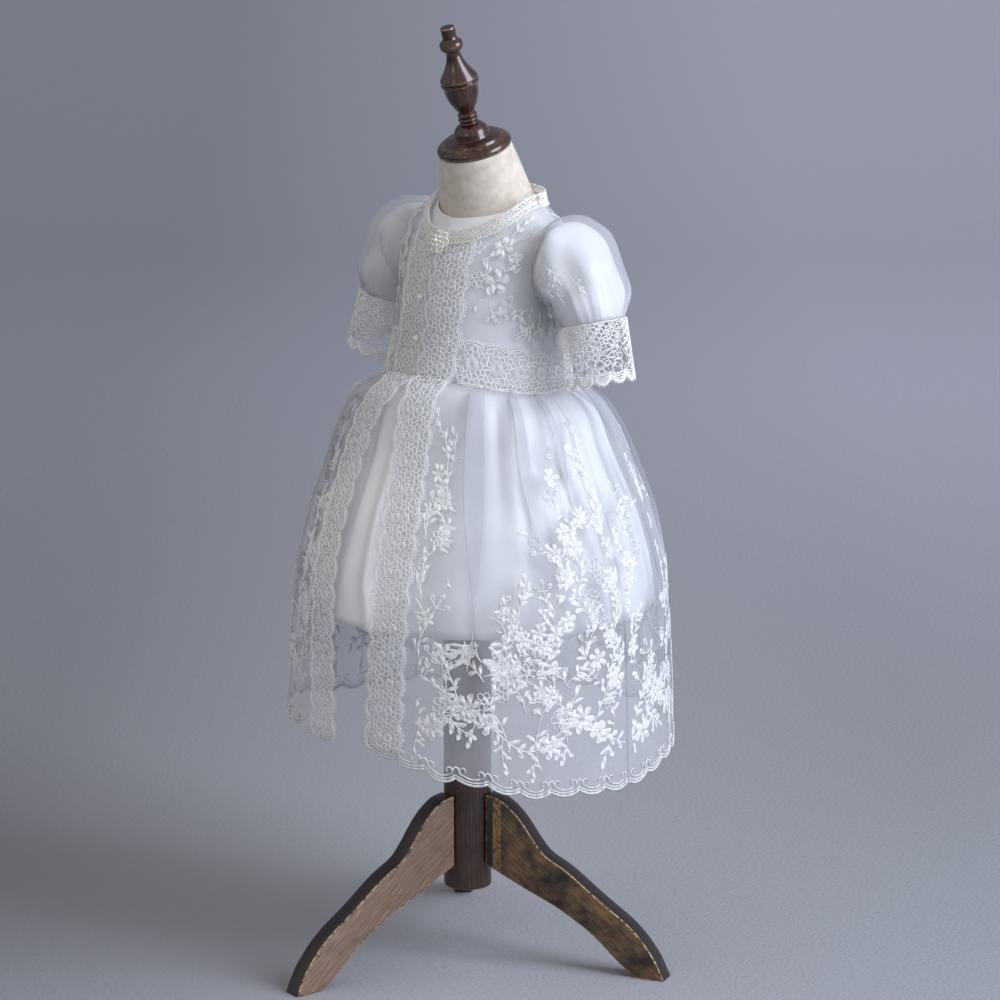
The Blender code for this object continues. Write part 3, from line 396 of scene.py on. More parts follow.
def sideWidth(side, height, base):
    # half the width of a bodice panel along its side seam and its armhole
    bottom, top = armholeEnds(base)
    height = np.asarray(height, dtype=float)
    middle = (bottom + top) / 2
    up = np.clip((height - middle) / (top - middle), -1, 1)
    reach = bodiceShape["armholeFront"] if side < 0 else bodiceShape["armholeRear"]
    opening = (reach + bodiceShape["armholeInset"] * base) * np.sqrt(1 - up ** 2)
    inner = np.zeros_like(height)
    outer = bodiceWidth(height) + base
    for _ in range(30):
        x = (inner + outer) / 2
        more = bodiceHalf(x, height, base) > opening
        inner = np.where(more, x, inner)
        outer = np.where(more, outer, x)
    tip = (bodiceShape["shoulderRise"] + base - top) / bodiceShape["shoulderSlope"]
    return np.where(height <= bottom, bodiceWidth(height) + base, np.where(height >= top, tip, inner))


def bodiceSpot(side, share, up, base, neck, edge=0.0):
    # share runs from the middle to the side, up from the waist to the top edge
    neckHalf, neckFront, neckBack = neck
    sideTop = armholeEnds(base)[1]
    tip = sideWidth(side, sideTop, base)
    middleTop = neckFront if side < 0 else neckBack
    neckPoint = shoulderTop(neckHalf, base)
    neckShare = bodiceShape["neckShare"]
    turn = np.minimum(share / neckShare, 1) * math.pi / 2
    past = np.clip((share - neckShare) / (1 - neckShare), 0, 1)
    topX = np.where(share < neckShare, neckHalf * np.sin(turn), neckHalf + (tip - neckHalf) * past)
    top = np.where(share < neckShare, middleTop + (neckPoint - middleTop) * (1 - np.cos(turn)),
                   shoulderTop(topX, base))
    height = bodiceFoot + (top - bodiceFoot) * up
    even = np.sin(share * math.pi / 2)
    sideX = sideWidth(side, bodiceFoot + (sideTop - bodiceFoot) * up, base)
    x = even * sideX + (topX - even * tip) * up ** 2
    x = edge + x * (1 - edge / sideX)
    y = bodiceCentre(height) + side * (bodiceHalf(x, height, base) + bodiceShape["seamGap"] / 2)
    return joined(x, y, height)


def bodiceUps(base):
    # each row's share of the panel's height: even below the armhole, then by turns round it
    bottom, top = armholeEnds(base)
    middle = (bottom + top) / 2
    turns = np.linspace(0, math.pi, bodiceShape["rowsArmhole"] + 1)
    along = middle + (top - middle) * np.cos(turns)
    below = np.linspace(bottom, bodiceFoot, bodiceShape["rowsBelow"] + 1)[1:]
    return (np.concatenate((along, below)) - bodiceFoot) / (top - bodiceFoot)


def bodiceAt(angle, height):
    # a point of the coat's bodice by its angle round the body
    x = bodiceWidth(height) * np.sin(np.radians(angle))
    facing = np.where(np.cos(np.radians(angle)) > 0, -1, 1)
    y = bodiceCentre(height) + facing * bodiceHalf(x, height, 0.0)
    return lifted(joined(x, y, height))


skirtShape = {
    # height, half width, half depth and centre, in millimetres
    "rows": [(613.7, 99.5, 94, 19), (606, 112, 107, 19), (594, 125.5, 121.5, 19), (574, 138, 135, 19),
        (530, 157, 154.5, 19), (470, 179, 177, 21), (400, 193.5, 192.5, 22), (320, 199.5, 199, 21),
        (235, 203, 203, 20), (215, 203.6, 203.6, 20)],
    # angle, hem height
    "hem": [(-180, 0.24), (-101, 0.242), (-48, 0.268), (-8, 0.265), (8, 0.268), (20, 0.254), (34, 0.241),
        (60, 0.223), (88, 0.218), (120, 0.23), (150, 0.238), (180, 0.24)],
    # height, angle of the right front edge, angle of the left one
    "edges": [(0.614, -0.6, 0.6), (0.606, -2.5, 1.5), (0.594, -6.0, 3.0), (0.574, -9.5, 5.0),
        (0.53, -11.0, 7.0), (0.47, -11.0, 8.0), (0.4, -9.0, 8.0), (0.32, -6.5, 8.0), (0.235, -4.5, 8.0)],
    # angle, half angle, depth, height where it has died out
    "folds": [(49.5, 2.2, -0.003, 0.48), (67, 3.0, 0.004, 0.33), (84, 4.0, 0.005, 0.25),
        (105, 7.0, 0.007, 0.3), (127, 6.0, 0.0055, 0.38), (148, 8.0, 0.007, 0.27), (171, 7.0, 0.006, 0.36),
        (194, 8.0, 0.007, 0.28), (217, 7.0, 0.0055, 0.37), (238, 7.0, 0.0065, 0.3), (260, 8.0, 0.006, 0.25),
        (281, 7.0, 0.0065, 0.33), (300, 6.0, 0.0055, 0.4), (316, 5.0, 0.0055, 0.34)],
    # middle, half angle, height where it has died out: cloth folded over itself under the waist lace
    "pleats": [(39.9, 7.6, 0.3), (59.0, 5.4, 0.47), (75.5, 4.6, 0.49), (112, 7.0, 0.33), (139, 6.0, 0.36),
        (163, 7.0, 0.3), (187, 6.5, 0.34), (211, 7.0, 0.32), (240, 6.0, 0.36), (282, 6.0, 0.33),
        (302, 6.5, 0.36), (321, 6.0, 0.3)],
    "pleatDepth": 0.006,
    "gathers": 54,
    "gatherDepth": 0.003,
    "gatherEnd": 0.45,
    "scallopsFront": 9,
    "scallopsBack": 19,
    "scallopDepth": 0.0055,
    "rowsDown": 66,
    "columnsScallop": 13,
    "smoothFront": (24.0, 36.0),     # no folds nearer the front than this, where the lace lies
}
skirtRows = metres(skirtShape["rows"])
skirtWidth, skirtDeep, skirtCentre = (smoothCurve(skirtRows, i) for i in (1, 2, 3))
edgeRight, edgeLeft = (smoothCurve(skirtShape["edges"], i) for i in (1, 2))
skirtTop = skirtRows[0][0]


def hemHeight(angle):
    angle = apart(np.asarray(angle, dtype=float), 0)
    height = np.full(angle.shape, skirtShape["hem"][-1][1])
    for before, after in zip(skirtShape["hem"], skirtShape["hem"][1:]):
        between = (angle >= before[0]) & (angle <= after[0])
        step = before[1] + (after[1] - before[1]) * ease(angle, before[0], after[0])
        height = np.where(between, step, height)
    return height


def skirtPush(angle, height):
    # gathers from the waist seam that melt into long folds; none under the front lace
    angle = np.asarray(angle, dtype=float) % 360
    fromFront = np.minimum(angle, 360 - angle)
    window = ease(fromFront, *skirtShape["smoothFront"])
    wander = angle + 1.6 * np.sin(np.radians(7 * angle)) + 0.9 * np.sin(np.radians(17 * angle + 40))
    down = np.clip((skirtTop - height) / (skirtTop - skirtShape["gatherEnd"]), 0, 1)
    wave = (1 + np.cos(np.radians(skirtShape["gathers"] * wander))) / 2
    strength = 0.55 + 0.45 * np.sin(np.radians(11 * angle + 70))
    push = skirtShape["gatherDepth"] * wave * strength * (1 - down) ** 1.3 * np.minimum(1, 9 * down)
    for middle, half, depth, lowest in skirtShape["folds"]:
        down = np.clip((skirtTop - height) / (skirtTop - lowest), 0, 1)
        bulge = np.exp(-((angle - middle) / half) ** 2)
        push = push + depth * bulge * (1 - down) ** 0.7 * np.minimum(1, 5 * down)
    return push * window


def skirtFlare(height):
    return (skirtWidth(height - 0.003) - skirtWidth(height + 0.003)) / 0.006


def skirtSpot(angle, height, out=0.0, push=0.0):
    flare = skirtFlare(height)
    length = np.hypot(1, flare)
    reach = push + out / length
    turn = np.radians(angle)
    return lifted(joined((skirtWidth(height) + reach) * np.sin(turn),
                         skirtCentre(height) - (skirtDeep(height) + reach) * np.cos(turn),
                         height + out * flare / length))


def coatSkirtSpot(angle, height):
    # the pleats turn back on themselves high up and open towards the hem
    angle, height = np.broadcast_arrays(np.asarray(angle, dtype=float), height)
    push = skirtPush(angle, height)
    moved = angle.copy()
    for middle, half, lowest in skirtShape["pleats"]:
        t = np.clip(apart(angle, middle) / half, -1, 1)
        dies = ease(height, lowest, 0.56)
        strength = ease(skirtTop - height, -0.004, 0.006) * dies
        moved = moved - 0.98 * half * strength * np.sin(math.pi * t)
        stands = 0.0005 + skirtShape["pleatDepth"] * ease(skirtTop - height, 0.001, 0.016) * dies ** 0.5
        push = push + stands * (np.sin(math.pi * t) + 1) / 2 * (1 - t ** 4)
    return skirtSpot(moved, height, 0.0, push)


def gridNormals(spots, closed=False):
    # rows run down and columns to the wearer's left on the front, so these point outward
    down = np.gradient(spots, axis=0)
    if closed:
        along = np.roll(spots, -1, axis=1) - np.roll(spots, 1, axis=1)
    else:
        along = np.gradient(spots, axis=1)
    return unit(np.cross(down, along))


def arcs(spots, axis):
    steps = np.linalg.norm(np.diff(spots, axis=axis), axis=-1)
    start = np.zeros_like(np.take(steps, [0], axis=axis))
    return np.concatenate((start, np.cumsum(steps, axis=axis)), axis=axis)


def intoScene(name, data):
    thing = bpy.data.objects.new(name, data)
    bpy.context.collection.objects.link(thing)
    return thing


def plainMesh(name, points, faces, material):
    mesh = bpy.data.meshes.new(name)
    mesh.from_pydata(np.asarray(points).tolist(), [], faces)
    mesh.update()
    mesh.shade_smooth()
    mesh.materials.append(material)
    return intoScene(name, mesh)


def buildMesh(name, points, quads, uvs, material, smooth=True):
    # points n x 3, quads f x 4, uvs f x 4 x 2
    mesh = bpy.data.meshes.new(name)
    quads = np.asarray(quads, dtype=np.int32)
    mesh.vertices.add(len(points))
    mesh.vertices.foreach_set("co", np.asarray(points, dtype=np.float32).ravel())
    mesh.loops.add(quads.size)
    mesh.loops.foreach_set("vertex_index", quads.ravel())
    mesh.polygons.add(len(quads))
    mesh.polygons.foreach_set("loop_start", np.arange(0, quads.size, 4, dtype=np.int32))
    mesh.polygons.foreach_set("use_smooth", np.full(len(quads), smooth))
    layer = mesh.uv_layers.new(name="cloth")
    layer.data.foreach_set("uv", np.asarray(uvs, dtype=np.float32).ravel())
    mesh.update(calc_edges=True)
    mesh.validate()
    mesh.materials.append(material)
    return intoScene(name, mesh)


thickness = {satin.name: 0.0008, organza.name: 0.0003}      # of the cloth as it is drawn, in metres


def clothWall(name, spots, material, closed=False):
    # a thin wall of cloth with rims; its outer face is the grid of spots. Closed means round like a tube
    rows, columns = spots.shape[:2]
    count = rows * columns
    layers = np.stack((spots, spots - gridNormals(spots, closed) * thickness[material.name]))
    index = np.arange(count).reshape(rows, columns)
    width = arcs(spots, 1)
    length = arcs(spots, 0)
    if closed:
        index = np.concatenate((index, index[:, :1]), axis=1)
        last = width[:, -1:] + np.linalg.norm(spots[:, :1] - spots[:, -1:], axis=-1)
        width = np.concatenate((width, last), axis=1)
        length = np.concatenate((length, length[:, :1]), axis=1)
    middle = width[:, width.shape[1] // 2:width.shape[1] // 2 + 1]
    flat = np.stack((width - middle, -length), axis=-1)
    corner = lambda table: np.stack((table[:-1, :-1], table[1:, :-1], table[1:, 1:], table[:-1, 1:]), axis=2)
    outer, outerUv = corner(index).reshape(-1, 4), corner(flat).reshape(-1, 4, 2)
    rims = [(index[0], 1), (index[-1], -1)] + ([] if closed else [(index[:, 0], -1), (index[:, -1], 1)])
    pairs = np.concatenate([np.stack((line[:-1], line[1:]), axis=1)[:, ::way] for line, way in rims])
    rim = np.stack((pairs[:, 1], pairs[:, 1] + count, pairs[:, 0] + count, pairs[:, 0]), axis=1)
    flatByPoint = np.zeros((count, 2))
    flatByPoint[index.ravel()] = flat.reshape(-1, 2)
    return buildMesh(name, layers.reshape(-1, 3) + (*columnAxis, 0),
                     np.concatenate((outer, outer[:, ::-1] + count, rim)),
                     np.concatenate((outerUv, outerUv[:, ::-1], flatByPoint[rim % count])), material)


# the satin dress

satinDress = {
    # height and inset from the coat, in millimetres
    "insets": [(624, 7), (617, 6.3), (613.7, 5), (598, 5.2), (560, 6.2), (500, 6.4), (440, 6.6), (384, 7.2)],
    "seam": 0.6137,
    "gathers": 34,
    "gatherDepth": 0.0024,
    "rowsDown": 38,
    "columns": 150,
    # angle at the waist, angle at the hem, half angle, depth: long soft folds
    "folds": [(-7, -13, 5.0, 0.004), (14, 17, 4.0, 0.0035), (-26, -34, 6.0, 0.0035), (24, 31, 6.0, 0.004),
        (44, 52, 7.0, 0.0045), (66, 72, 7.0, 0.004), (-50, -58, 7.0, 0.004), (-76, -80, 8.0, 0.0035),
        (100, 104, 8.0, 0.004), (128, 130, 8.0, 0.004), (158, 156, 8.0, 0.004), (186, 188, 8.0, 0.004),
        (214, 210, 8.0, 0.004), (244, 240, 8.0, 0.004)],
    # height, angle, how far it stands out: one sharp fold that swells out between the coat's edges,
    # steep towards the wearer's left
    "ridge": [(0.6137, 5.0, 0.0), (0.595, 4.5, 0.0015), (0.57, 3.8, 0.005), (0.549, 3.0, 0.0085),
        (0.495, 2.0, 0.011), (0.436, 1.8, 0.011), (0.407, 3.6, 0.0095), (0.384, 4.4, 0.008)],
    "ridgeHalf": (4.2, 1.3),
}
satinInsets = metres(satinDress["insets"])
satinInset = smoothCurve(satinInsets, 1)
ridgeAngle = smoothCurve(satinDress["ridge"], 1)
ridgeRise = smoothCurve(satinDress["ridge"], 2)


def satinSkirtSpot(angle, height):
    top = satinDress["seam"]
    hem = satinInsets[-1][0]
    down = np.clip((top - height) / (top - hem), 0, 1)
    wander = angle + 2.2 * np.sin(np.radians(5 * angle + 20))
    wave = (1 + np.cos(np.radians(satinDress["gathers"] * wander))) / 2
    push = satinDress["gatherDepth"] * wave * np.minimum(1, 5 * down) * (1 - down) ** 0.8
    for start, end, half, depth in satinDress["folds"]:
        bulge = np.exp(-(apart(angle, start + (end - start) * down) / half) ** 2) - 0.25
        push = push + depth * bulge * np.minimum(1, 4 * down) * (1 - 0.35 * down)
    away = apart(angle, ridgeAngle(height))
    push = push + ridgeRise(height) * np.exp(-(away / np.where(away < 0, *satinDress["ridgeHalf"])) ** 2)
    return skirtSpot(angle, height, -satinInset(height), push)


def bodicePanel(name, side, base, necks, edge, shares, material, mirror=1.0):
    ups = bodiceUps(base)[:, None]
    neck = [np.where(mirror * shares[None, :] < 0, right, left) for left, right in zip(necks[1], necks[-1])]
    spots = bodiceSpot(side, np.abs(shares)[None, :], ups, base, neck, edge)
    spots[..., 0] *= mirror * np.where(shares < 0, -1.0, 1.0)[None, :]
    return clothWall(name, lifted(spots), material)


half = np.linspace(0, 1, bodiceShape["columns"] + 1)
across = np.concatenate((-half[:0:-1], half))
dressBodiceFront, dressBodiceBack = (
    bodicePanel(f"dress_bodice_{name}_satin", side, -bodiceShape["satinUnder"],
                bodiceShape["dressNeck"], 0.0, shares, satin)
    for name, side, shares in (("front", -1, across), ("back", 1, across[::-1])))


def dressSkirtPanel(name, start):
    angles = start + np.linspace(0.05, 179.95, satinDress["columns"] + 1)
    if start < 0:
        angles = np.sort(np.concatenate((angles, np.arange(-0.75, 7.0, 0.31))))   # finer over the sharp fold
    top, hem = satinInsets[0][0], satinInsets[-1][0]     # the top is tucked into the bodice
    heights = top + (hem - top) * np.linspace(0, 1, satinDress["rowsDown"] + 1)[:, None] ** 1.4
    return clothWall(name, satinSkirtSpot(angles[None, :], heights + 0 * angles), satin)


dressSkirtFront = dressSkirtPanel("dress_skirt_front_satin", -90)
dressSkirtBack = dressSkirtPanel("dress_skirt_back_satin", 90)


puffSleeve = {
    # top x, top height, under x, under height, half depth, centre, how far the sheer stands proud,
    # how much lower the satin sits inside it at the top, all in millimetres
    "rings": [(103.5, 785, 97.5, 703.5, 38.5, 32, 4.8, 0), (113, 788.5, 98.5, 701, 42, 35.5, 5.8, 1.5),
        (131, 774.5, 101, 698.5, 43.5, 37.5, 6, 3), (153, 749, 103.5, 695.5, 42.5, 38.5, 5.2, 3),
        (165.5, 721.5, 105, 690, 37.5, 38, 3.5, 2), (168.8, 695.5, 109.5, 680.5, 28.5, 36, 1, 0)],
    "proudSides": 0.6,
    "columns": 104,
    "rowsDown": 36,
    "creaseDepth": 0.0019,
    "headGathers": 26,
    "headDepth": 0.001,
    "cuffGathers": 30,
    "cuffDepth": 0.0014,
    # turn round the arm in degrees, width of the fold, depth: soft folds that run down to the cuff
    "folds": [(20, 9, 0.003), (48, 8, 0.0024), (78, 9, 0.0026), (112, 10, 0.0022), (160, 12, 0.002),
        (215, 10, 0.0022), (255, 9, 0.0026), (290, 8, 0.0024), (325, 9, 0.0028)],
}


sleeveTurns = 2 * math.pi * np.arange(puffSleeve["columns"]) / puffSleeve["columns"]


def armholeRing(hand, base):
    # the sleeve's first ring: from the shoulder down the front and up the back
    turns = np.linspace(0, 2, puffSleeve["columns"], endpoint=False)
    if hand > 0:
        turns = (2 - turns) % 2
    front = turns <= 1
    share = np.where(front, turns, 2 - turns)
    bottom, top = armholeEnds(base)
    height = (bottom + top) / 2 + (top - bottom) / 2 * np.cos(math.pi * share)
    up = (height - bodiceFoot) / (top - bodiceFoot)
    one = np.ones_like(up)
    neck = bodiceShape["coatNeck"][1]
    spots = np.where(front[:, None], *(lifted(bodiceSpot(side, one, up, base, neck)) for side in (-1, 1)))
    middle = joined(spots[:, 0], bodiceCentre(spots[:, 2]), 0.743 * one)
    spots = spots - unit(spots - middle) * bodiceShape["seamGap"]
    spots[:, 0] += 2 * bodiceShape["seamGap"]
    spots[:, 0] *= hand
    return spots


def throughMarks(marks, steps):
    # a smooth line or surface through a few points or rings, and where each step of it lies between them
    marks = np.array(marks)
    padded = np.concatenate((2 * marks[:1] - marks[1:2], marks, 2 * marks[-1:] - marks[-2:-1]))
    places = np.linspace(0, len(marks) - 1, steps + 1)
    line = []
    for place in places:
        i = min(int(place), len(marks) - 2)
        t = place - i
        a, b, c, d = padded[i:i + 4]
        line.append(0.5 * (2 * b + (c - a) * t + (2 * a - 5 * b + 4 * c - d) * t * t
                           + (3 * b - a - 3 * c + d) * t ** 3))
    return np.stack(line), places


def satinSleeveSpots(hand):
    rings = [armholeRing(hand, -bodiceShape["satinUnder"])]
    turn = -hand * sleeveTurns
    for topX, topHeight, underX, underHeight, halfDepth, centre, _, lower in metres(puffSleeve["rings"]):
        over = np.array([hand * topX, centre, topHeight])
        under = np.array([hand * underX, centre, underHeight])
        over = over - unit(over - under) * lower
        ring = (over + under) / 2 + (over - under) / 2 * np.cos(turn)[:, None]
        ring[:, 1] -= halfDepth * np.sin(turn)
        rings.append(ring)
    return throughMarks(rings, puffSleeve["rowsDown"])


def sleeveCreases(places):
    # wide soft creases that wander over the whole puff
    along, about = places[:, None], sleeveTurns[None, :]
    crease = (np.sin(1.9 * along + 3 * about + 0.7) + 0.8 * np.sin(1.1 * along - 5 * about + 2.0)
              + 0.7 * np.sin(2.9 * along + 2 * about + 4.0) * np.sin(4 * about - 0.6 * along))
    strength = ease(along, 0.7, 1.8) * (1 - ease(along, 4.4, 6.0))
    return puffSleeve["creaseDepth"] * crease * strength


def sleeveFolds(places):
    push = 0 * sleeveTurns
    for middle, width, depth in puffSleeve["folds"]:
        push = push + depth * np.exp(-(apart(np.degrees(sleeveTurns), middle) / width) ** 2)
    return push[None, :] * (ease(places, 2.6, 4.8) * (1 - 0.6 * ease(places, 5.2, 6.0)))[:, None]


def coatSleeveSpots(hand):
    spots, places = satinSleeveSpots(hand)
    proud, lower = (np.interp(places, np.arange(1, 7), column)[:, None]
                    for column in list(zip(*metres(puffSleeve["rings"])))[6:])
    sides = puffSleeve["proudSides"]
    top = np.clip(np.cos(sleeveTurns), 0, None)[None, :]
    clear = proud * (sides + (1 - sides) * top) + lower * top
    head = puffSleeve["headDepth"] * (ease(places, 0.1, 0.6) * (1 - ease(places, 1.0, 3.2)))[:, None]
    cuff = puffSleeve["cuffDepth"] * ease(places, 3.6, 5.6)[:, None]
    wander = sleeveTurns + 0.1 * np.sin(3 * sleeveTurns + 1)
    clear = clear + head * np.cos(puffSleeve["headGathers"] * wander)
    clear = clear + cuff * (np.cos(puffSleeve["cuffGathers"] * wander) - 0.2)
    clear = clear + sleeveCreases(places) + 0.5 * sleeveFolds(places)
    sheer = spots + gridNormals(spots, closed=True) * (clear + 0.0012)[..., None]
    blend = ease(places, 0.0, 0.7)[:, None, None]
    return armholeRing(hand, 0.0)[None] * (1 - blend) + sheer * blend


def satinPuff(hand):
    # the satin puff, its folds pressed in from the sheer one
    spots, places = satinSleeveSpots(hand)
    fold = sleeveFolds(places) - 0.0012 * (ease(places, 2.6, 4.8) * (1 - ease(places, 5.2, 6.0)))[:, None]
    return spots + gridNormals(spots, closed=True) * (0.6 * fold + 0.9 * sleeveCreases(places))[..., None]


sleeveParts = {}
for hand, side in ((1, "left"), (-1, "right")):
    coatSpots = coatSleeveSpots(hand)
    sleeveParts[side] = {
        "spots": coatSpots,
        "satin": clothWall(f"dress_sleeve_{side}_satin", satinPuff(hand), satin, True),
        "coat": clothWall(f"coat_sleeve_{side}_organza", coatSpots, organza, True),
    }
print("satin dress and puff sleeves sewn")


# the organza coat

coatFronts = {
    side: bodicePanel(f"coat_bodice_front_{side}_organza", -1, 0.0, bodiceShape["coatNeck"],
                      bodiceShape["frontEdge"], shares, organza, mirror)
    for side, shares, mirror in (("left", half, 1.0), ("right", half[::-1], -1.0))}
coatBack = bodicePanel("coat_bodice_back_organza", 1, 0.0, bodiceShape["coatNeck"], 0.0, across[::-1],
                       organza)

coatPanels = {
    # scallops, and the angle of the first and the last column at a height
    "front_left": (skirtShape["scallopsFront"], edgeLeft, lambda height: 89.95 + 0 * height),
    "back": (skirtShape["scallopsBack"], lambda height: 90.05 + 0 * height,
             lambda height: 269.95 + 0 * height),
    "front_right": (skirtShape["scallopsFront"], lambda height: -89.95 + 0 * height, edgeRight),
}


def coatSkirtPanel(name, scallops, start, end):
    share = np.linspace(0, 1, scallops * skirtShape["columnsScallop"] + 1)[None, :]
    down = np.linspace(0, 1, skirtShape["rowsDown"] + 1)[:, None] ** 1.15
    rise = skirtShape["scallopDepth"] * (1 - np.abs(np.sin(math.pi * share * scallops)) ** 0.8)
    height = np.full(share.shape, 0.235)
    for _ in range(3):
        angle = start(height) + (end(height) - start(height)) * share
        height = hemHeight(angle) + rise
    heights = skirtTop + (height - skirtTop) * down
    angles = start(heights) + (end(heights) - start(heights)) * share
    return clothWall(f"coat_skirt_{name}_organza", coatSkirtSpot(angles, heights), organza)


coatSkirts = {name: coatSkirtPanel(name, *panel) for name, panel in coatPanels.items()}
print("organza coat sewn")


# cords and threads laid on the cloth

def surfaceFrame(place, u, v):
    # the point and the outward direction of a surface; u runs to the wearer's left and v up, in metres
    step = 0.0004
    along = place(u + step, v) - place(u - step, v)
    up = place(u, v + step) - place(u, v - step)
    return place(u, v), unit(np.cross(along, up))


def sweptCords(place, u, v, width, height, lift, closed):
    # flattened cords along n lines of m points; width and height are per point, lift is their underside
    spots, normals = surfaceFrame(place, u, v)
    ahead = np.roll(spots, -1, axis=1) - np.roll(spots, 1, axis=1) if closed else np.gradient(spots, axis=1)
    side = unit(np.cross(unit(ahead), normals))
    wide, high, raised = (np.broadcast_to(value, u.shape)[..., None] for value in (width, height, lift))
    base = spots + normals * raised
    cord = np.stack((base + side * wide / 2 + normals * high * 0.25, base + normals * high,
                     base - side * wide / 2 + normals * high * 0.25, base - normals * high * 0.1), axis=2)
    index = np.arange(u.size * 4).reshape(*u.shape, 4)
    far = arcs(spots, 1)
    aside = np.concatenate((wide / 2, 0 * wide, -wide / 2, 0 * wide), axis=2)
    if closed:
        last = far[:, -1:] + np.linalg.norm(spots[:, :1] - spots[:, -1:], axis=-1)
        far = np.concatenate((far, last), axis=1)
        index = np.concatenate((index, index[:, :1]), axis=1)
        aside = np.concatenate((aside, aside[:, :1]), axis=1)
    flat = np.stack((np.broadcast_to(far[..., None], aside.shape), aside), axis=-1)

    def corners(table):
        turned = np.roll(table, -1, axis=2)
        return np.stack((table[:, :-1], table[:, 1:], turned[:, 1:], turned[:, :-1]), axis=3)

    quads, uvs = corners(index).reshape(-1, 4), corners(flat).reshape(-1, 4, 2)
    if not closed:
        caps = np.concatenate((index[:, 0], index[:, -1, ::-1]))
        quads, uvs = np.concatenate((quads, caps)), np.concatenate((uvs, np.zeros((len(caps), 4, 2))))
    return cord.reshape(-1, 3), quads, uvs


def stitchPiece(name, batches, material, smooth=True):
    # one piece out of several batches of cords
    points, quads, uvs = zip(*batches)
    starts = np.cumsum([0] + [len(part) for part in points])
    return buildMesh(name, np.concatenate(points) + (*columnAxis, 0),
                     np.concatenate([part + start for part, start in zip(quads, starts)]),
                     np.concatenate(uvs), material, smooth)


def ringLines(u, v, radius, sides, turn=0.0):
    # n rings of cord as lines of points
    angle = np.linspace(0, 2 * math.pi, sides, endpoint=False) + np.asarray(turn)[..., None]
    u, v, radius = (np.asarray(value)[..., None] for value in np.broadcast_arrays(u, v, radius))
    return u + radius * np.cos(angle), v + radius * np.sin(angle)


def laceBand(name, place, length, look, seed, material, ends=0.0):
    # a band of guipure: u runs along it from 0 to its length, v across it.
    # All measures in the look are metres; a scallop's depth bows it towards a lower or a higher v
    chance = np.random.default_rng(seed)
    lift, cord = look["lift"], look["cord"]
    scallops = max(1, round(length / look["scallop"]))
    pitch = length / scallops
    bow = lambda u: np.abs(np.sin(math.pi * u / pitch)) ** 0.8
    middles = (np.arange(scallops) + 0.5) * pitch
    batches = []

    def lay(u, v, width, height, closed, more=0.0):
        inside = np.clip(u, ends, length - ends) if ends else u
        batches.append(sweptCords(place, inside, v, width, height, lift + more, closed))

    # the net: touching rings that drift out of round, row by row
    for low, high, small, large in look["net"]:
        rows, row = [], low + small * 0.43
        while row < high:
            rows.append(row)
            row += 0.866 * (small + (large - small) * (row - low) / (high - low))
        for i, row in enumerate(rows):
            size = small + (large - small) * (row - low) / (high - low)
            count = int(round(length / size)) - i % 2
            u = (np.arange(count) + 0.5 + 0.5 * (i % 2)) * length / (count + i % 2)
            v = row + chance.uniform(-0.1, 0.1, count) * size
            clear = np.ones(count, dtype=bool)
            for across, radius, _ in look["medallions"]:
                clear &= np.hypot(u % pitch - pitch / 2, v - across) > radius + size * 0.3
            u, v = u[clear], v[clear]
            radius = size * chance.uniform(0.44, 0.54, len(u))
            ringU, ringV = ringLines(u, v, radius, 8, chance.uniform(0, 6, len(u)))
            ringU, ringV = (line + chance.normal(0, 0.05, line.shape) * size for line in (ringU, ringV))
            drift = look["drift"] * size
            ringU, ringV = (ringU + drift * np.sin(1.7 * ringU / size + 2.3 * ringV / size + seed),
                            ringV + drift * np.sin(2.1 * ringV / size - 1.9 * ringU / size))
            thick = cord * chance.uniform(0.75, 1.2, len(u))[:, None]
            lay(ringU, ringV, thick, look["height"], True)
    for across, radius, thick in look["medallions"]:
        ringU, ringV = ringLines(middles, np.full(scallops, across), np.full(scallops, radius), 14)
        lay(ringU, ringV, thick, look["height"] * 1.3, True, 0.0002)
    # cords along the edges, in scallops
    t = np.linspace(0, 1, 9)
    for across, depth, thick in look["lines"]:
        u = (np.arange(scallops)[:, None] + t) * pitch
        v = across + depth * bow(u) + chance.normal(0, 0.00012, u.shape)
        lay(u, v, thick, look["height"] * 1.2, False)
    # picots: small loops or spikes that stand out past the edge
    for across, depth, every, reach, spiked in look["picots"]:
        count = int(length / every)
        u = (np.arange(count) + 0.5) * length / count
        v = across + depth * bow(u)
        size = reach * chance.uniform(0.7, 1.25, count)
        if spiked:
            way = np.sign(reach)
            out = np.linspace(0, 1, 3) * size[:, None]
            lean = chance.uniform(-0.4, 0.4, count)[:, None] * out
            lay(u[:, None] + lean, v[:, None] + out, np.array([1.0, 0.8, 0.35]) * cord,
                np.array([1.0, 0.8, 0.5]) * look["height"], False)
        else:
            ringU, ringV = ringLines(u, v, np.abs(size), 6, chance.uniform(0, 6, count))
            lay(ringU, ringV, 0.0007, look["height"], True)
    return stitchPiece(name, batches, material)


# the front edge lace

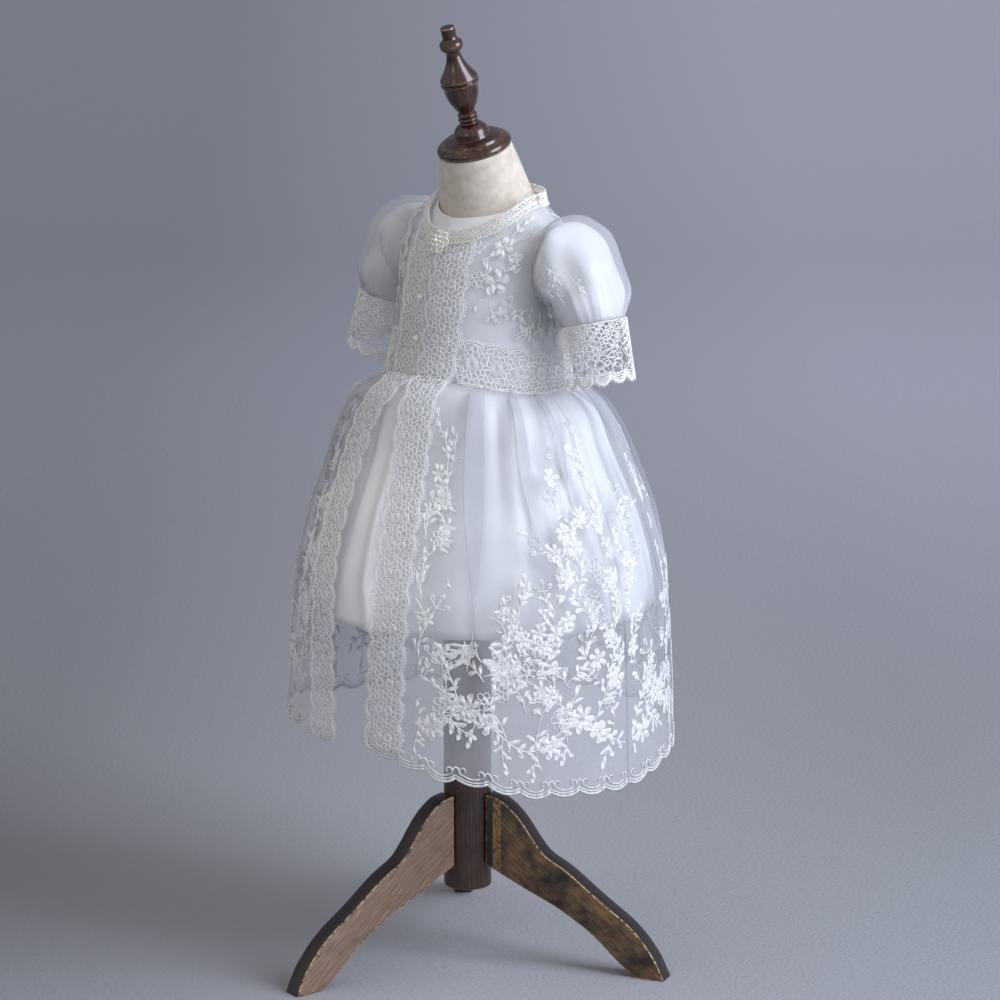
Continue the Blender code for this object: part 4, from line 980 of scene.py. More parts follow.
frontLace = {
    "width": 0.04,
    "lift": {"left": 0.0018, "right": 0.0008},   # the left lace laps over the right one
    "overlap": -0.003,
    "cord": 0.0009,
    "height": 0.0005,
    "drift": 0.16,
    "scallop": 0.027,
    # from, to, size of the rings at each
    "net": [(0.0044, 0.0378, 0.0056, 0.0056)],
    # across, radius, cord: double rings in the middle of each scallop
    "medallions": [(0.0146, 0.0042, 0.0011), (0.0146, 0.0025, 0.0009), (0.0254, 0.0042, 0.0011),
        (0.0254, 0.0025, 0.0009)],
    # across, scallop depth, cord
    "lines": [(0.0044, -0.0054, 0.0012), (0.0062, -0.0052, 0.0009), (0.0356, 0.0052, 0.0013),
        (0.0338, 0.005, 0.0009)],
    # across, scallop depth, spacing, size, spikes or loops
    "picots": [(0.0044, -0.0054, 0.0017, -0.0029, True), (0.0358, 0.0052, 0.0016, 0.0032, True)],
}


def frontLacePlace(side):
    # u runs along the lace and v across it from the front edge
    hand = 1 if side == "left" else -1
    edge = edgeLeft if side == "left" else edgeRight
    waist = bodiceShape["waist"]
    hem = float(hemHeight(edge(0.235))) + 0.001
    heights = np.concatenate((np.linspace(0.761, waist + 0.0005, 60), np.linspace(waist - 0.0005, hem, 140)))
    neckHalf, neckFront, _ = bodiceShape["coatNeck"][hand]
    rise = float(shoulderTop(neckHalf, 0.0)) - neckFront

    def spot(across, height):
        # height as at the front edge; the lace follows the neckline at its top
        sweep = np.clip(across / neckHalf, 0, 1)
        top = neckFront + rise * (1 - np.sqrt(1 - sweep ** 2)) - 0.0032
        down = (0.7598 - height) / (0.7598 - waist)
        onBodice = top + (waist - top) * np.clip(down, -0.05, 1)
        x = bodiceShape["frontEdge"] + np.clip(across, frontLace["overlap"] if hand > 0 else 0.0012, None)
        bodice = lifted(joined(hand * x, bodiceCentre(onBodice) - bodiceHalf(x, onBodice, 0.0), onBodice))
        low = np.minimum(height, skirtTop)
        proud = 0.0015 * ease(waist - low, 0.0, 0.027)
        skirt = coatSkirtSpot(edge(low) + hand * np.degrees((across - proud) / skirtWidth(low)), low)
        return np.where((height > waist)[..., None], bodice, skirt)

    far = arcs(spot(np.full(len(heights), 0.5 * frontLace["width"]), heights)[None], 1)[0]
    start = 0 if hand > 0 else far[-1]
    return lambda u, v: spot(v, np.interp(start + hand * u, far, heights)), far[-1]


frontLaces = {side: laceBand(f"front_edge_lace_{side}", *frontLacePlace(side),
                              {**frontLace, "lift": frontLace["lift"][side]}, seed, laceCord)
              for side, seed in (("left", 11), ("right", 12))}


# the waist lace

waistLace = {
    "bottom": 0.6122,
    "radius": 0.0935,              # lengths round the waist are measured on this radius
    "start": 27.5,                 # degrees, at the front laces
    "frontGain": 0.36,             # how much taller it is towards the centre front
    "lift": 0.0008,
    "cord": 0.0009,
    "height": 0.0005,
    "drift": 0.2,
    "scallop": 0.0265,
    "net": [(0.003, 0.037, 0.0052, 0.0056)],
    "medallions": [(0.02, 0.0062, 0.0009), (0.02, 0.0045, 0.0013), (0.02, 0.0027, 0.001)],
    "lines": [(0.002, -0.0014, 0.0012), (0.0038, -0.0012, 0.0009), (0.0362, 0.0036, 0.0012),
        (0.0342, 0.0032, 0.0009)],
    "picots": [(0.0366, 0.0036, 0.0017, 0.0028, True), (0.0016, -0.0014, 0.0024, -0.0016, True)],
}


def waistLacePlace(start):
    # the lower edge laps over the top of the skirt
    first = math.radians(start) * waistLace["radius"]

    def place(u, v):
        turn = (first + u) / waistLace["radius"]
        tall = 1 + waistLace["frontGain"] * np.clip(np.cos(turn), 0, 1)
        angle, height = np.degrees(turn), waistLace["bottom"] + np.where(v > 0, tall, 1) * v
        low = np.minimum(height, skirtTop)
        onSkirt = skirtSpot(angle, low, 0.0004, skirtPush(angle, low))
        return np.where((height > bodiceShape["waist"])[..., None], bodiceAt(angle, height), onSkirt)
    return place


waistLaces = {
    part: laceBand(f"waist_lace_{part}_band", waistLacePlace(start),
                   math.radians(end - start) * waistLace["radius"], waistLace, int(abs(start)), laceCord)
    for part, start, end in (("front_left", waistLace["start"], 89.9), ("back", 90.1, 269.9),
                             ("front_right", -89.9, -waistLace["start"]))}


# the cuff lace

cuffLace = {
    "top": 0.6878,
    "tall": 0.062,
    "radius": 0.0335,              # at the top; lengths round the cuff are measured on it
    "flare": 0.001,                # how much wider it is at the bottom
    "gap": 0.0002,                 # from the side seams
    "lean": 0.0145,
    "forward": 0.004,
    "tilt": 0.25,
    "wrist": (0.13925, 0.036),
    "lift": 0.0,
    "cord": 0.0011,
    "height": 0.0008,
    "drift": 0.3,
    "scallop": 0.0175,
    # across is measured up from the lower edge: large holes low down, small ones at the seam
    "net": [(0.0112, 0.035, 0.008, 0.006), (0.035, 0.0615, 0.0048, 0.0034)],
    "medallions": [],
    "lines": [(0.0076, -0.0065, 0.0018), (0.0088, -0.0058, 0.0017), (0.01, -0.0048, 0.0015),
        (0.0112, -0.0036, 0.0014), (0.0124, -0.0022, 0.0012), (0.0612, 0.0, 0.0014)],
    "picots": [(0.0072, -0.0065, 0.0019, -0.0021, True), (0.008, -0.0062, 0.0034, 0.0011, False)],
}


def cuffPlace(hand, part):
    first = (-math.pi / 2 if part == "front" else math.pi / 2) * cuffLace["radius"] + cuffLace["gap"]
    wristX, wristY = cuffLace["wrist"]

    def place(u, v):
        share = 1 - v / cuffLace["tall"]
        radius = cuffLace["radius"] + cuffLace["flare"] * share
        turn = (first + u) / cuffLace["radius"]
        aside = radius * np.sin(turn)
        return joined(hand * (wristX + cuffLace["lean"] * share) + aside,
                      wristY - cuffLace["forward"] * share - radius * np.cos(turn),
                      cuffLace["top"] + v - cuffLace["tall"] + cuffLace["tilt"] * hand * aside)
    return place


cuffs = {
    (side, part): laceBand(f"cuff_lace_{side}_{part}_net", cuffPlace(hand, part),
                           math.pi * cuffLace["radius"] - 2 * cuffLace["gap"], cuffLace, seed + hand,
                           laceCord, 0.0003)
    for side, hand in (("left", 1), ("right", -1)) for part, seed in (("front", 31), ("back", 36))}


# the neck lace

neckLace = {
    "width": 0.014,
    "lap": 0.002,
    "upright": {1: 0.75, -1: 0.1},      # on the left half it stands up, on the right half it lies down
    "fall": {1: 1.0, -1: 0.6},
    "end": 0.9998,
    "lift": 0.0004,
    "cord": 0.0011,
    "height": 0.0012,
    "drift": 0.14,
    "scallop": 0.012,
    "net": [(0.0016, 0.0064, 0.0036, 0.0036), (0.0068, 0.0122, 0.004, 0.004)],
    "medallions": [],
    "lines": [(0.001, 0.0, 0.0016), (0.0064, 0.0, 0.0012), (0.012, 0.0006, 0.0014)],
    "picots": [(0.013, 0.001, 0.0024, 0.0012, False), (0.0064, 0.0, 0.0026, 0.0008, False),
        (0.0006, 0.0, 0.0028, 0.0011, False)],
}


def neckline(side, hand, share):
    neckHalf, neckFront, neckBack = bodiceShape["coatNeck"][hand]
    turn = share * math.pi / 2
    x = neckHalf * np.sin(turn)
    middle = neckFront if side < 0 else neckBack
    height = middle + (float(shoulderTop(neckHalf, 0.0)) - middle) * (1 - np.cos(turn))
    return joined(x, bodiceCentre(height) + side * bodiceHalf(x, height, 0.0), height)


def neckPlace(side, hand):
    # u runs from the centre front (or back) on the left half and towards it on the right half, v up
    shares = neckLace["end"] * (1 - np.linspace(1, 0, 160) ** 2)      # closer together at the shoulder
    far = arcs(neckline(side, hand, shares)[None], 1)[0]

    def place(u, v):
        share = np.interp(u if side * hand < 0 else far[-1] - u, far, shares)
        edge = neckline(side, hand, share)
        normal = bodiceNormal(edge, 0.0)
        after, before = (neckline(side, hand, np.clip(share + step, 0, 1)) for step in (0.04, -0.04))
        run = after - before
        inward = unit(np.cross(normal, run))
        fromNeck = joined(edge[..., 0], edge[..., 1] - bodiceCentre(edge[..., 2]), 0)
        inward = np.where((np.sum(inward * fromNeck, axis=-1) > 0)[..., None], -inward, inward)
        stands, falls = ((ease(share, 0.3, 1.0), ease(share, 0.1, 0.5)) if side < 0
                         else (np.ones_like(share), np.ones_like(share)))
        upright = neckLace["upright"][hand] * stands[..., None]
        rising = unit(inward * (1 - upright) + upright * np.array([0, 0, 1.0]))
        flat = 1 - (1 - neckLace["fall"][hand]) * falls
        away = ((v - neckLace["lap"]) * flat)[..., None]
        spot = edge + normal * 0.0012 + np.where(away > 0, rising, inward) * away
        spot[..., 0] = hand * np.maximum(spot[..., 0], bodiceShape["frontEdge"])
        return spot
    return place, far[-1]


def neckLaceHalf(side, hand):
    place, length = neckPlace(side, hand)
    return laceBand("neck", place, length, neckLace, 77 + hand, ivoryLace, 0.0006)


def joinPieces(name, *things):
    bpy.ops.object.select_all(action="DESELECT")
    for thing in things:
        thing.select_set(True)
    bpy.context.view_layer.objects.active = things[0]
    if len(things) > 1:
        bpy.ops.object.join()
    things[0].name = things[0].data.name = name
    return things[0]


neckLaces = {
    "left": joinPieces("neck_lace_front_left_band", neckLaceHalf(-1, 1)),
    "right": joinPieces("neck_lace_front_right_band", neckLaceHalf(-1, -1)),
    "back": joinPieces("neck_lace_back_band", neckLaceHalf(1, 1), neckLaceHalf(1, -1)),
}
print("lace made: front edges, waist, cuffs and neck")


# the embroidery: leaves, petals, rings, drops and vines, each stitched along a few points in millimetres

strokeShapes = {
    # share of the full width at each point along a stroke, closed or not, height
    "leaf": ([0.22, 0.6, 0.66, 0.92, 0.84, 1.0, 0.8, 0.34], False, 0.0006),
    "petal": ([0.44, 0.84, 0.92, 1.1, 0.96, 0.56], False, 0.0006),
    "stem": ([0.8, 1.0, 1.0, 1.0, 1.0, 1.0, 0.9, 0.7], False, 0.0007),
    "ring": ([1.0] * 10, True, 0.0007),
    "drop": ([0.7, 0.9, 1.0, 1.1, 1.2, 1.25, 1.2, 1.1, 1.0, 0.9], True, 0.0007),
}


def stroke(kind, line, x, y, heading, width):
    # a line drawn from 0, 0 along x is turned to its heading; 0 is to the wearer's left and 90 is up
    c, s = math.cos(math.radians(heading)), math.sin(math.radians(heading))
    along, aside = line
    return kind, np.stack((x + along * c - aside * s, y + along * s + aside * c), axis=1), width


def leaf(x, y, heading, length, width, bend=0.0, kind="leaf"):
    t = np.linspace(0, 1, len(strokeShapes[kind][0]))
    return stroke(kind, (t * length, bend * length * np.sin(math.pi * t * 0.8)), x, y, heading, width)


def stem(points, width=1.3):
    points = np.asarray(points, dtype=float)
    fine = np.linspace(0, len(points) - 1, 8)
    line = np.stack([np.interp(fine, np.arange(len(points)), points[:, i]) for i in (0, 1)], axis=1)
    return "stem", line, width


roundTurn = np.linspace(0, 2 * math.pi, 10, endpoint=False)


def ring(x, y, radius, width=1.2, stretch=1.0, heading=0.0):
    return stroke("ring", (radius * stretch * np.cos(roundTurn), radius * np.sin(roundTurn)),
                  x, y, heading, width)


def drop(x, y, heading, length, width=1.1):
    line = 0.5 * (1 - np.cos(roundTurn)), 0.32 * np.sin(roundTurn) * np.sin(roundTurn / 2) ** 0.9
    return stroke("drop", (length * line[0], length * line[1]), x, y, heading, width)


def around(x, y, radius, heading):
    return x + radius * math.cos(math.radians(heading)), y + radius * math.sin(math.radians(heading))


def flower(x, y, radius, turn, petals=6):
    strokes = [ring(x, y, radius * 0.15, 1.5)]
    for heading in turn + 360 / petals * np.arange(petals):
        strokes.append(leaf(*around(x, y, radius * 0.22, heading), heading, radius * 0.8,
                            radius * 3.0 / petals, 0.0, "petal"))
    return strokes


def openFlower(x, y, radius, turn):
    petals = [ring(*around(x, y, radius * 0.63, heading), radius * 0.31, 1.2, 1.15, heading)
              for heading in turn + 60 * np.arange(6)]
    return [ring(x, y, radius * 0.24)] + petals


def dropSpray(x, y, heading, size):
    strokes = []
    for aside, far in ((-48, 0.9), (0, 1.15), (44, 0.85)):
        px, py = around(x, y, size * far, heading + aside)
        strokes += [stem([(x, y), around(x, y, size * 0.5, heading + aside * 0.3), (px, py)], 1.2),
                    drop(px, py, heading + aside * 0.9, size * 0.95),
                    drop(*around(px, py, size * 0.17, heading + aside), heading + aside * 0.9, size * 0.6)]
    return strokes


def branch(chance, x, y, heading, length, bend=0.0, size=12.0, end="leaf", fullness=0.8):
    # a bending stem with leaves by turns on its sides and something at its tip
    steps = max(2, round(length / (0.62 * size)))
    strokes, points = [], [(x, y)]
    hand = chance.choice([-1, 1])
    for i in range(steps):
        heading += bend / steps + chance.uniform(-7, 7)
        x, y = around(x, y, length / steps, heading)
        points.append((x, y))
        for side in (hand, -hand):
            if i < steps - 1 and chance.uniform() < (fullness if side == hand else 0.45 * fullness):
                strokes.append(leaf(x, y, heading + side * chance.uniform(28, 72),
                                    size * chance.uniform(0.75, 1.15), size * chance.uniform(0.31, 0.42),
                                    -side * chance.uniform(-0.04, 0.24)))
        hand = -hand
    strokes.append(stem(points, 0.11 * size))
    if end == "flower":
        strokes += flower(*around(x, y, 0.5 * size, heading), size * chance.uniform(0.8, 1.0),
                          heading + 36, chance.choice([5, 6]))
    elif end == "openFlower":
        strokes += openFlower(*around(x, y, 0.6 * size, heading), size * chance.uniform(0.75, 0.9), heading)
    elif end == "drops":
        strokes += dropSpray(x, y, heading, 0.8 * size)
    else:
        strokes.append(leaf(x, y, heading, size * 1.1, size * 0.44, 0.08))
    return strokes, (x, y, heading)


def stitch(name, place, strokes, material, lift=0.00005):
    # strokes are in millimetres over the place's own map
    batches = []
    for kind, (widths, closed, height) in strokeShapes.items():
        chosen = [(line, width) for strokeKind, line, width in strokes if strokeKind == kind]
        if chosen:
            lines = np.stack([line for line, _ in chosen]) / 1000
            profile = np.array(widths)[None, :] * np.array([width for _, width in chosen])[:, None] / 1000
            batches.append(sweptCords(place, lines[..., 0], lines[..., 1], profile,
                                      np.minimum(height, 0.45 * profile + 0.0002), lift, closed))
    return stitchPiece(name, batches, material, False)


skirtWork = {
    "radius": 0.2,                 # metres round the skirt are measured on this radius
    "rise": 62.0,                  # of the garland's middle over the hem, in millimetres
    "wave": 14.0,
    "period": 118.0,
    "top": 565.0,
    "bare": (37.0, 54.0),          # between these angles the skirt stays plain above the satin's hem
    "sprayEvery": {"front": 21.0, "back": 52.0},
    "seed": 4,
}


def skirtPlace(u, v):
    # u round the skirt from the centre front, v the height over the floor down the slope
    return coatSkirtSpot(np.degrees(u / skirtWork["radius"]), v)


def workPanel(name, firstAngle, lastAngle):
    chance = np.random.default_rng(skirtWork["seed"] + int(abs(firstAngle)))
    first, last = (math.radians(angle) * skirtWork["radius"] * 1000 for angle in (firstAngle, lastAngle))
    periods = max(1, round((last - first) / skirtWork["period"]))
    period = (last - first) / periods
    strokes = []

    def vine(u):
        low = 1000 * float(hemHeight(math.degrees(u / 1000 / skirtWork["radius"])))
        wave = math.cos(2 * math.pi * (u - first) / period + math.pi)
        return low + skirtWork["rise"] + skirtWork["wave"] * wave

    def grow(u, v, *rest, **more):
        grown, tip = branch(chance, u, v, *rest, **more)
        strokes.extend(grown)
        return tip

    # the garland: a waving vine, leaves on both sides, blossoms at its crests
    for u in np.arange(first + 6, last - 6, 9.5):
        nextU = min(u + 9.5, last - 4)
        strokes.append(stem([(along, vine(along)) for along in (u, (u + nextU) / 2, nextU)], 1.6))
        slope = math.degrees(math.atan2(vine(nextU) - vine(u), nextU - u))
        for hand in (1, -1):
            if chance.uniform() < 0.8:
                strokes.append(leaf(u, vine(u), slope + hand * chance.uniform(35, 70), chance.uniform(10, 14),
                                    chance.uniform(4.4, 5.6), hand * -0.12))
    for i in range(periods):
        crest = first + (i + 0.5) * period
        trough = first + i * period + 8
        top = vine(crest)
        strokes += flower(crest, top + 3, 15.0, chance.uniform(0, 60), 7)
        strokes += flower(crest + 21, top - 13, 11.5, chance.uniform(0, 60), 5)
        strokes += openFlower(crest - 25, top + 5, 10.5, chance.uniform(0, 60))
        strokes += openFlower(crest + 34, top + 17, 9.0, chance.uniform(0, 60))
        strokes += flower(trough + 18, vine(trough + 18) - 7, 12.5, chance.uniform(0, 60), 6)
        for u, heading in ((trough + 4, -112), (trough + 34, -70), (crest - 14, -105), (crest + 8, -78),
                           (crest + 36, -100)):
            grow(u, vine(u), heading + chance.uniform(-8, 8), chance.uniform(20, 27),
                 bend=chance.uniform(-50, 50), size=chance.uniform(10.5, 13.5))
        for u, heading, length, end in ((trough + 2, 98, 52, "flower"), (trough + 26, 66, 40, "leaf"),
                                        (trough + 46, 104, 46, "drops"), (crest - 8, 112, 38, "leaf"),
                                        (crest + 14, 70, 50, "flower"), (crest + 40, 96, 44, "openFlower")):
            if u < last - 12:
                grow(u, vine(u), heading + chance.uniform(-10, 10), length * chance.uniform(0.9, 1.1),
                     bend=chance.uniform(-45, 45), end=end)
    # sprays that climb from the garland towards the waist, with more motifs on both sides of them
    sprays = max(1, round((last - first) / skirtWork["sprayEvery"][name.split("_")[0]]))
    for i in range(sprays):
        u = first + (i + 0.5 + chance.uniform(-0.2, 0.2)) * (last - first) / sprays
        v, heading, hand = vine(u) + 40, 90 + chance.uniform(-14, 14), chance.choice([-1, 1])
        stop = skirtWork["top"] - (0 if i % 2 else 60) + chance.uniform(-20, 10)
        while v < stop:
            thin = max(0.0, (v - 430) / 200)
            u0, v0 = u, v
            size = chance.uniform(11.0, 13.5) - 2.5 * thin
            u, v, heading = grow(u, v, heading, chance.uniform(26, 36), bend=hand * chance.uniform(20, 70),
                                 size=size, end="leaf" if v < stop - 34 else "drops", fullness=0.75)
            u = min(max(u, first + 9), last - 9)
            hand = -hand
            heading = 90 + (heading - 90) * 0.4
            for side, low in ((hand, 6), (-hand, 20)):
                if chance.uniform() < 0.88 - 0.45 * thin:
                    grow(u0, v0 + low, 90 + side * chance.uniform(35, 85), chance.uniform(14, 24),
                         bend=-side * chance.uniform(10, 60), size=chance.uniform(8.5, 11.5),
                         end=chance.choice(["leaf", "flower", "flower", "drops", "openFlower"]))
    low, high = first + 1.5, last - 1.5

    def shown(line):
        # not past the seams, not where a pleat turns back on itself, and not on the plain part
        angle = math.degrees(line[:, 0].mean() / 1000 / skirtWork["radius"])
        height = line[:, 1].mean()
        folded = any(abs(apart(angle, middle)) < half and height > 670 * lowest + 182
                     for middle, half, lowest in skirtShape["pleats"])
        plain = skirtWork["bare"][0] < angle < skirtWork["bare"][1] and height > 430
        return low < line[:, 0].min() and line[:, 0].max() < high and not folded and not plain

    strokes = [one for one in strokes if shown(one[1])]
    return stitch(f"embroidery_coat_skirt_{name}", skirtPlace, strokes, embroideryThread)


skirtEmbroidery = {name: workPanel(name, *angles) for name, angles in (
    ("front_left", (21.0, 89.8)), ("front_right", (-89.8, -21.0)), ("back", (90.2, 269.8)))}


# the corded hem with its scrolls

hemWork = {
    "edge": 0.0027,                # widths of the cords
    "inner": 0.0018,
    "scroll": 0.0015,
    "height": 0.0011,
    "curl": 0.0046,                # radius of a scroll where it begins to curl
}


def makeHem(name, scallops, start, end):
    radius = skirtWork["radius"]
    first, last = (math.radians(float(edge(np.array(0.245)))) * radius for edge in (start, end))
    pitch = (last - first) / scallops
    cusps = first + np.arange(scallops + 1)[:, None] * pitch
    batches = []

    def lay(starts, along, rise, width):
        # along is in shares of a scallop and rise in metres over the smooth hem
        u = starts + along * pitch
        v = hemHeight(np.degrees(u / radius)) + rise
        batches.append(sweptCords(skirtPlace, np.clip(u, first + 0.0006, last - 0.0006), v, width,
                                  hemWork["height"], 0.0001, False))

    t = np.linspace(0, 1, 11)
    bow = skirtShape["scallopDepth"] * (1 - np.abs(np.sin(math.pi * t)) ** 0.8)
    lay(cusps[:-1], t, bow + 0.0011, hemWork["edge"])
    lay(cusps[:-1], t, bow + 0.004, hemWork["inner"])
    # a scroll in each scallop, curling inwards at both ends
    base = np.linspace(0.23, 0.77, 9)
    lay(cusps[:-1], base, 0.0072 + 0.034 * (base - 0.5) ** 2, hemWork["scroll"])
    curl = np.linspace(0, 1, 13)
    size = hemWork["curl"] * (1 - 0.62 * curl)
    for hand in (-1, 1):
        turn = -math.pi / 2 + hand * curl * 1.8 * math.pi
        lay(cusps[:-1], 0.5 + hand * 0.27 + size * np.cos(turn) / pitch,
            0.0096 + hemWork["curl"] + size * np.sin(turn), hemWork["scroll"])
    # an arch over each cusp joins the scrolls
    arch = np.linspace(-1, 1, 9)
    lay(cusps[1:-1], arch * 0.12, 0.01 + 0.0075 * np.sqrt(np.clip(1 - arch ** 2, 0, 1)), hemWork["scroll"])
    return stitchPiece(f"hem_cords_coat_skirt_{name}", batches, embroideryThread)


hems = {name: makeHem(name, *panel) for name, panel in coatPanels.items()}


# bodice and sleeve sprays

bodiceWork = {
    "radius": 0.09,
    "leaf": 9.0,
    "armhole": (62.0, 0.702),      # no stitches past this angle above this height
    # angle round the body, height, heading in degrees, length in millimetres, what ends it
    "sprays": [(36, 0.76, 35, 4, "flower", 14), (43, 0.771, 70, 12, "leaf"), (36, 0.77, 120, 12, "leaf"),
        (37, 0.757, -120, 10, "leaf"), (46, 0.757, -50, 12, "leaf"), (50, 0.768, 20, 10, "openFlower"),
        (34, 0.764, 170, 8, "drops"), (52, 0.758, -80, 20, "leaf"), (60, 0.76, -90, 22, "leaf"),
        (43, 0.719, 40, 4, "flower", 15), (39, 0.722, 170, 8, "openFlower"),
        (57, 0.722, -5, 9, "openFlower"), (50, 0.733, 85, 12, "leaf"), (42, 0.731, 130, 12, "leaf"),
        (57, 0.732, 45, 12, "leaf"), (45, 0.709, -110, 10, "drops"), (53, 0.71, -65, 10, "drops"),
        (40, 0.712, 205, 10, "leaf"), (66, 0.722, -70, 20, "drops"), (74, 0.7, 215, 20, "drops"),
        (84, 0.696, 250, 18, "flower"), (70, 0.684, -30, 18, "leaf"), (80, 0.684, 200, 18, "openFlower"),
        (64, 0.7, -70, 16, "leaf"), (86, 0.672, 160, 18, "drops")],
}
sleeveWork = {
    "radius": 0.04,
    "long": 0.105,
    "leaf": 5.5,
    # share round from the top of the arm towards the front, distance down, heading, length, what ends it
    "sprays": [(0.22, 0.04, -68, 24, "leaf"), (0.3, 0.036, -84, 30, "leaf"), (0.27, 0.058, -50, 22, "leaf"),
        (0.38, 0.05, -80, 26, "drops"), (0.17, 0.062, -60, 18, "leaf"), (0.42, 0.062, -95, 18, "leaf"),
        (0.8, 0.045, -96, 26, "leaf"), (0.68, 0.05, -75, 26, "leaf"), (0.62, 0.06, -88, 20, "drops")],
}


def growSprays(work, turns, mapped):
    # the same sprays, begun at each of the turns and run one way or the other
    chance = np.random.default_rng(12)
    strokes = []
    for start, way in turns:
        for around0, along, heading, length, end, *size in work["sprays"]:
            grown, _ = branch(chance, 0, 0, heading, length, chance.uniform(-50, 50),
                              *(size or [work["leaf"]]), end)
            u, v = mapped(start + way * around0, along)
            strokes += [(kind, line * (way, 1) + (1000 * u, 1000 * v), width) for kind, line, width in grown]
    return strokes


def workBodice(name, turns):
    radius = bodiceWork["radius"]
    far, high = bodiceWork["armhole"]
    nearest = 0 if name == "back" else 28      # in front the lace covers the middle

    def shown(line):
        angle = np.degrees(line[:, 0] / 1000 / radius)
        fromMiddle = np.minimum(np.abs(angle), np.abs(angle - 180)).max()
        return nearest < fromMiddle < (far if line[:, 1].max() > 1000 * high else 88)

    strokes = growSprays(bodiceWork, turns, lambda angle, height: (math.radians(angle) * radius, height))
    return stitch(f"embroidery_coat_bodice_{name}", lambda u, v: bodiceAt(np.degrees(u / radius), v),
                  [one for one in strokes if shown(one[1])], embroideryThread)


bodiceEmbroidery = {
    "left": workBodice("front_left", [(0, 1)]),
    "right": workBodice("front_right", [(0, -1)]),
    "back": workBodice("back", [(180, -1), (180, 1)]),
}


def sleevePlace(hand):
    # u round the sleeve from the top of the arm, v down from the shoulder
    spots = sleeveParts["left" if hand > 0 else "right"]["spots"]
    rows, columns = spots.shape[:2]

    def place(u, v):
        column = (u / sleeveWork["radius"] / (2 * math.pi) * columns) % columns
        row = np.clip(-v / sleeveWork["long"] * (rows - 1), 0, rows - 1.001)
        c, r = np.floor(column).astype(int) % columns, np.floor(row).astype(int)
        aside, down = (column - np.floor(column))[..., None], (row - r)[..., None]
        upper, lower = (spots[i, c] * (1 - aside) + spots[i, (c + 1) % columns] * aside for i in (r, r + 1))
        return upper * (1 - down) + lower * down
    return place


def workSleeve(side, hand):
    # the right sleeve's front is plain
    shown = [spray for spray in sleeveWork["sprays"] if hand > 0 or spray[0] > 0.5]
    strokes = growSprays({**sleeveWork, "sprays": shown}, [(0, 1)],
                         lambda share, down: (-hand * share * 2 * math.pi * sleeveWork["radius"], -down))
    return stitch(f"embroidery_coat_sleeve_{side}", sleevePlace(hand), strokes, embroideryThread)


sleeveEmbroidery = {"left": workSleeve("left", 1), "right": workSleeve("right", -1)}
print("embroidery stitched")


# the form and the stand

def freshMap(thing, name):
    while thing.data.uv_layers:
        thing.data.uv_layers.remove(thing.data.uv_layers[0])
    return thing.data.uv_layers.new(name=name)


def wrapMap(thing, name, radius):
    # a map in metres: up the piece, then round it
    layer = freshMap(thing, name)
    for face in thing.data.polygons:
        base = math.atan2(face.center.y, face.center.x)
        for loop in face.loop_indices:
            spot = thing.data.vertices[thing.data.loops[loop].vertex_index].co
            turn = (math.atan2(spot.y, spot.x) - base + math.pi) % (2 * math.pi) - math.pi
            layer.data[loop].uv = (spot.z, (base + turn) * radius)


def setEditMode(thing):
    bpy.ops.object.select_all(action="DESELECT")
    thing.select_set(True)
    bpy.context.view_layer.objects.active = thing
    bpy.ops.object.mode_set(mode="EDIT")
    bpy.ops.mesh.select_all(action="SELECT")


def drawDisc(name, corners, radius, *materials):
    bpy.ops.object.select_all(action="DESELECT")
    bpy.ops.mesh.primitive_circle_add(vertices=corners, radius=radius, fill_type="NGON")
    thing = bpy.context.object
    thing.name = thing.data.name = name
    thing.data.materials.clear()
    for material in materials:
        thing.data.materials.append(material)
    return thing


def turnAndSet(thing, axis, turn, base, sharp):
    # with no window the turn runs the other way, so it is given as a minus
    setEditMode(thing)
    bpy.ops.transform.rotate(value=-math.radians(turn), orient_axis=axis, center_override=(0, 0, 0),
                             orient_type="GLOBAL")
    bpy.ops.transform.translate(value=base)
    bpy.ops.object.mode_set(mode="OBJECT")
    bpy.ops.object.shade_smooth_by_angle(angle=math.radians(sharp))


def turnedPiece(name, profile, material, base, tilt=0.0, bare=()):
    # a disc drawn up step by step along the profile, as on a lathe; it leans forward by tilt.
    # bare lists where the finish is rubbed off: from, to, how much
    profile = metres(profile)
    thing = drawDisc(name, 64, profile[0][1], material)
    setEditMode(thing)
    bpy.ops.transform.translate(value=(0, 0, profile[0][0]))
    for (low, narrow), (high, wide) in zip(profile, profile[1:]):
        bpy.ops.mesh.extrude_region_move(TRANSFORM_OT_translate={"value": (0, 0, high - low)})
        bpy.ops.transform.resize(value=(wide / narrow, wide / narrow, 1), center_override=(0, 0, high))
    bpy.ops.mesh.select_all(action="SELECT")
    bpy.ops.mesh.normals_make_consistent(inside=False)
    bpy.ops.object.mode_set(mode="OBJECT")
    wrapMap(thing, "grain", max(wide for _, wide in profile))
    wear = thing.data.attributes.new("wear", "FLOAT", "POINT")
    for vertex in thing.data.vertices:
        wear.data[vertex.index].value = sum(much for start, end, much in bare if start <= vertex.co.z <= end)
    turnAndSet(thing, "X", tilt, base, 40)
    return thing


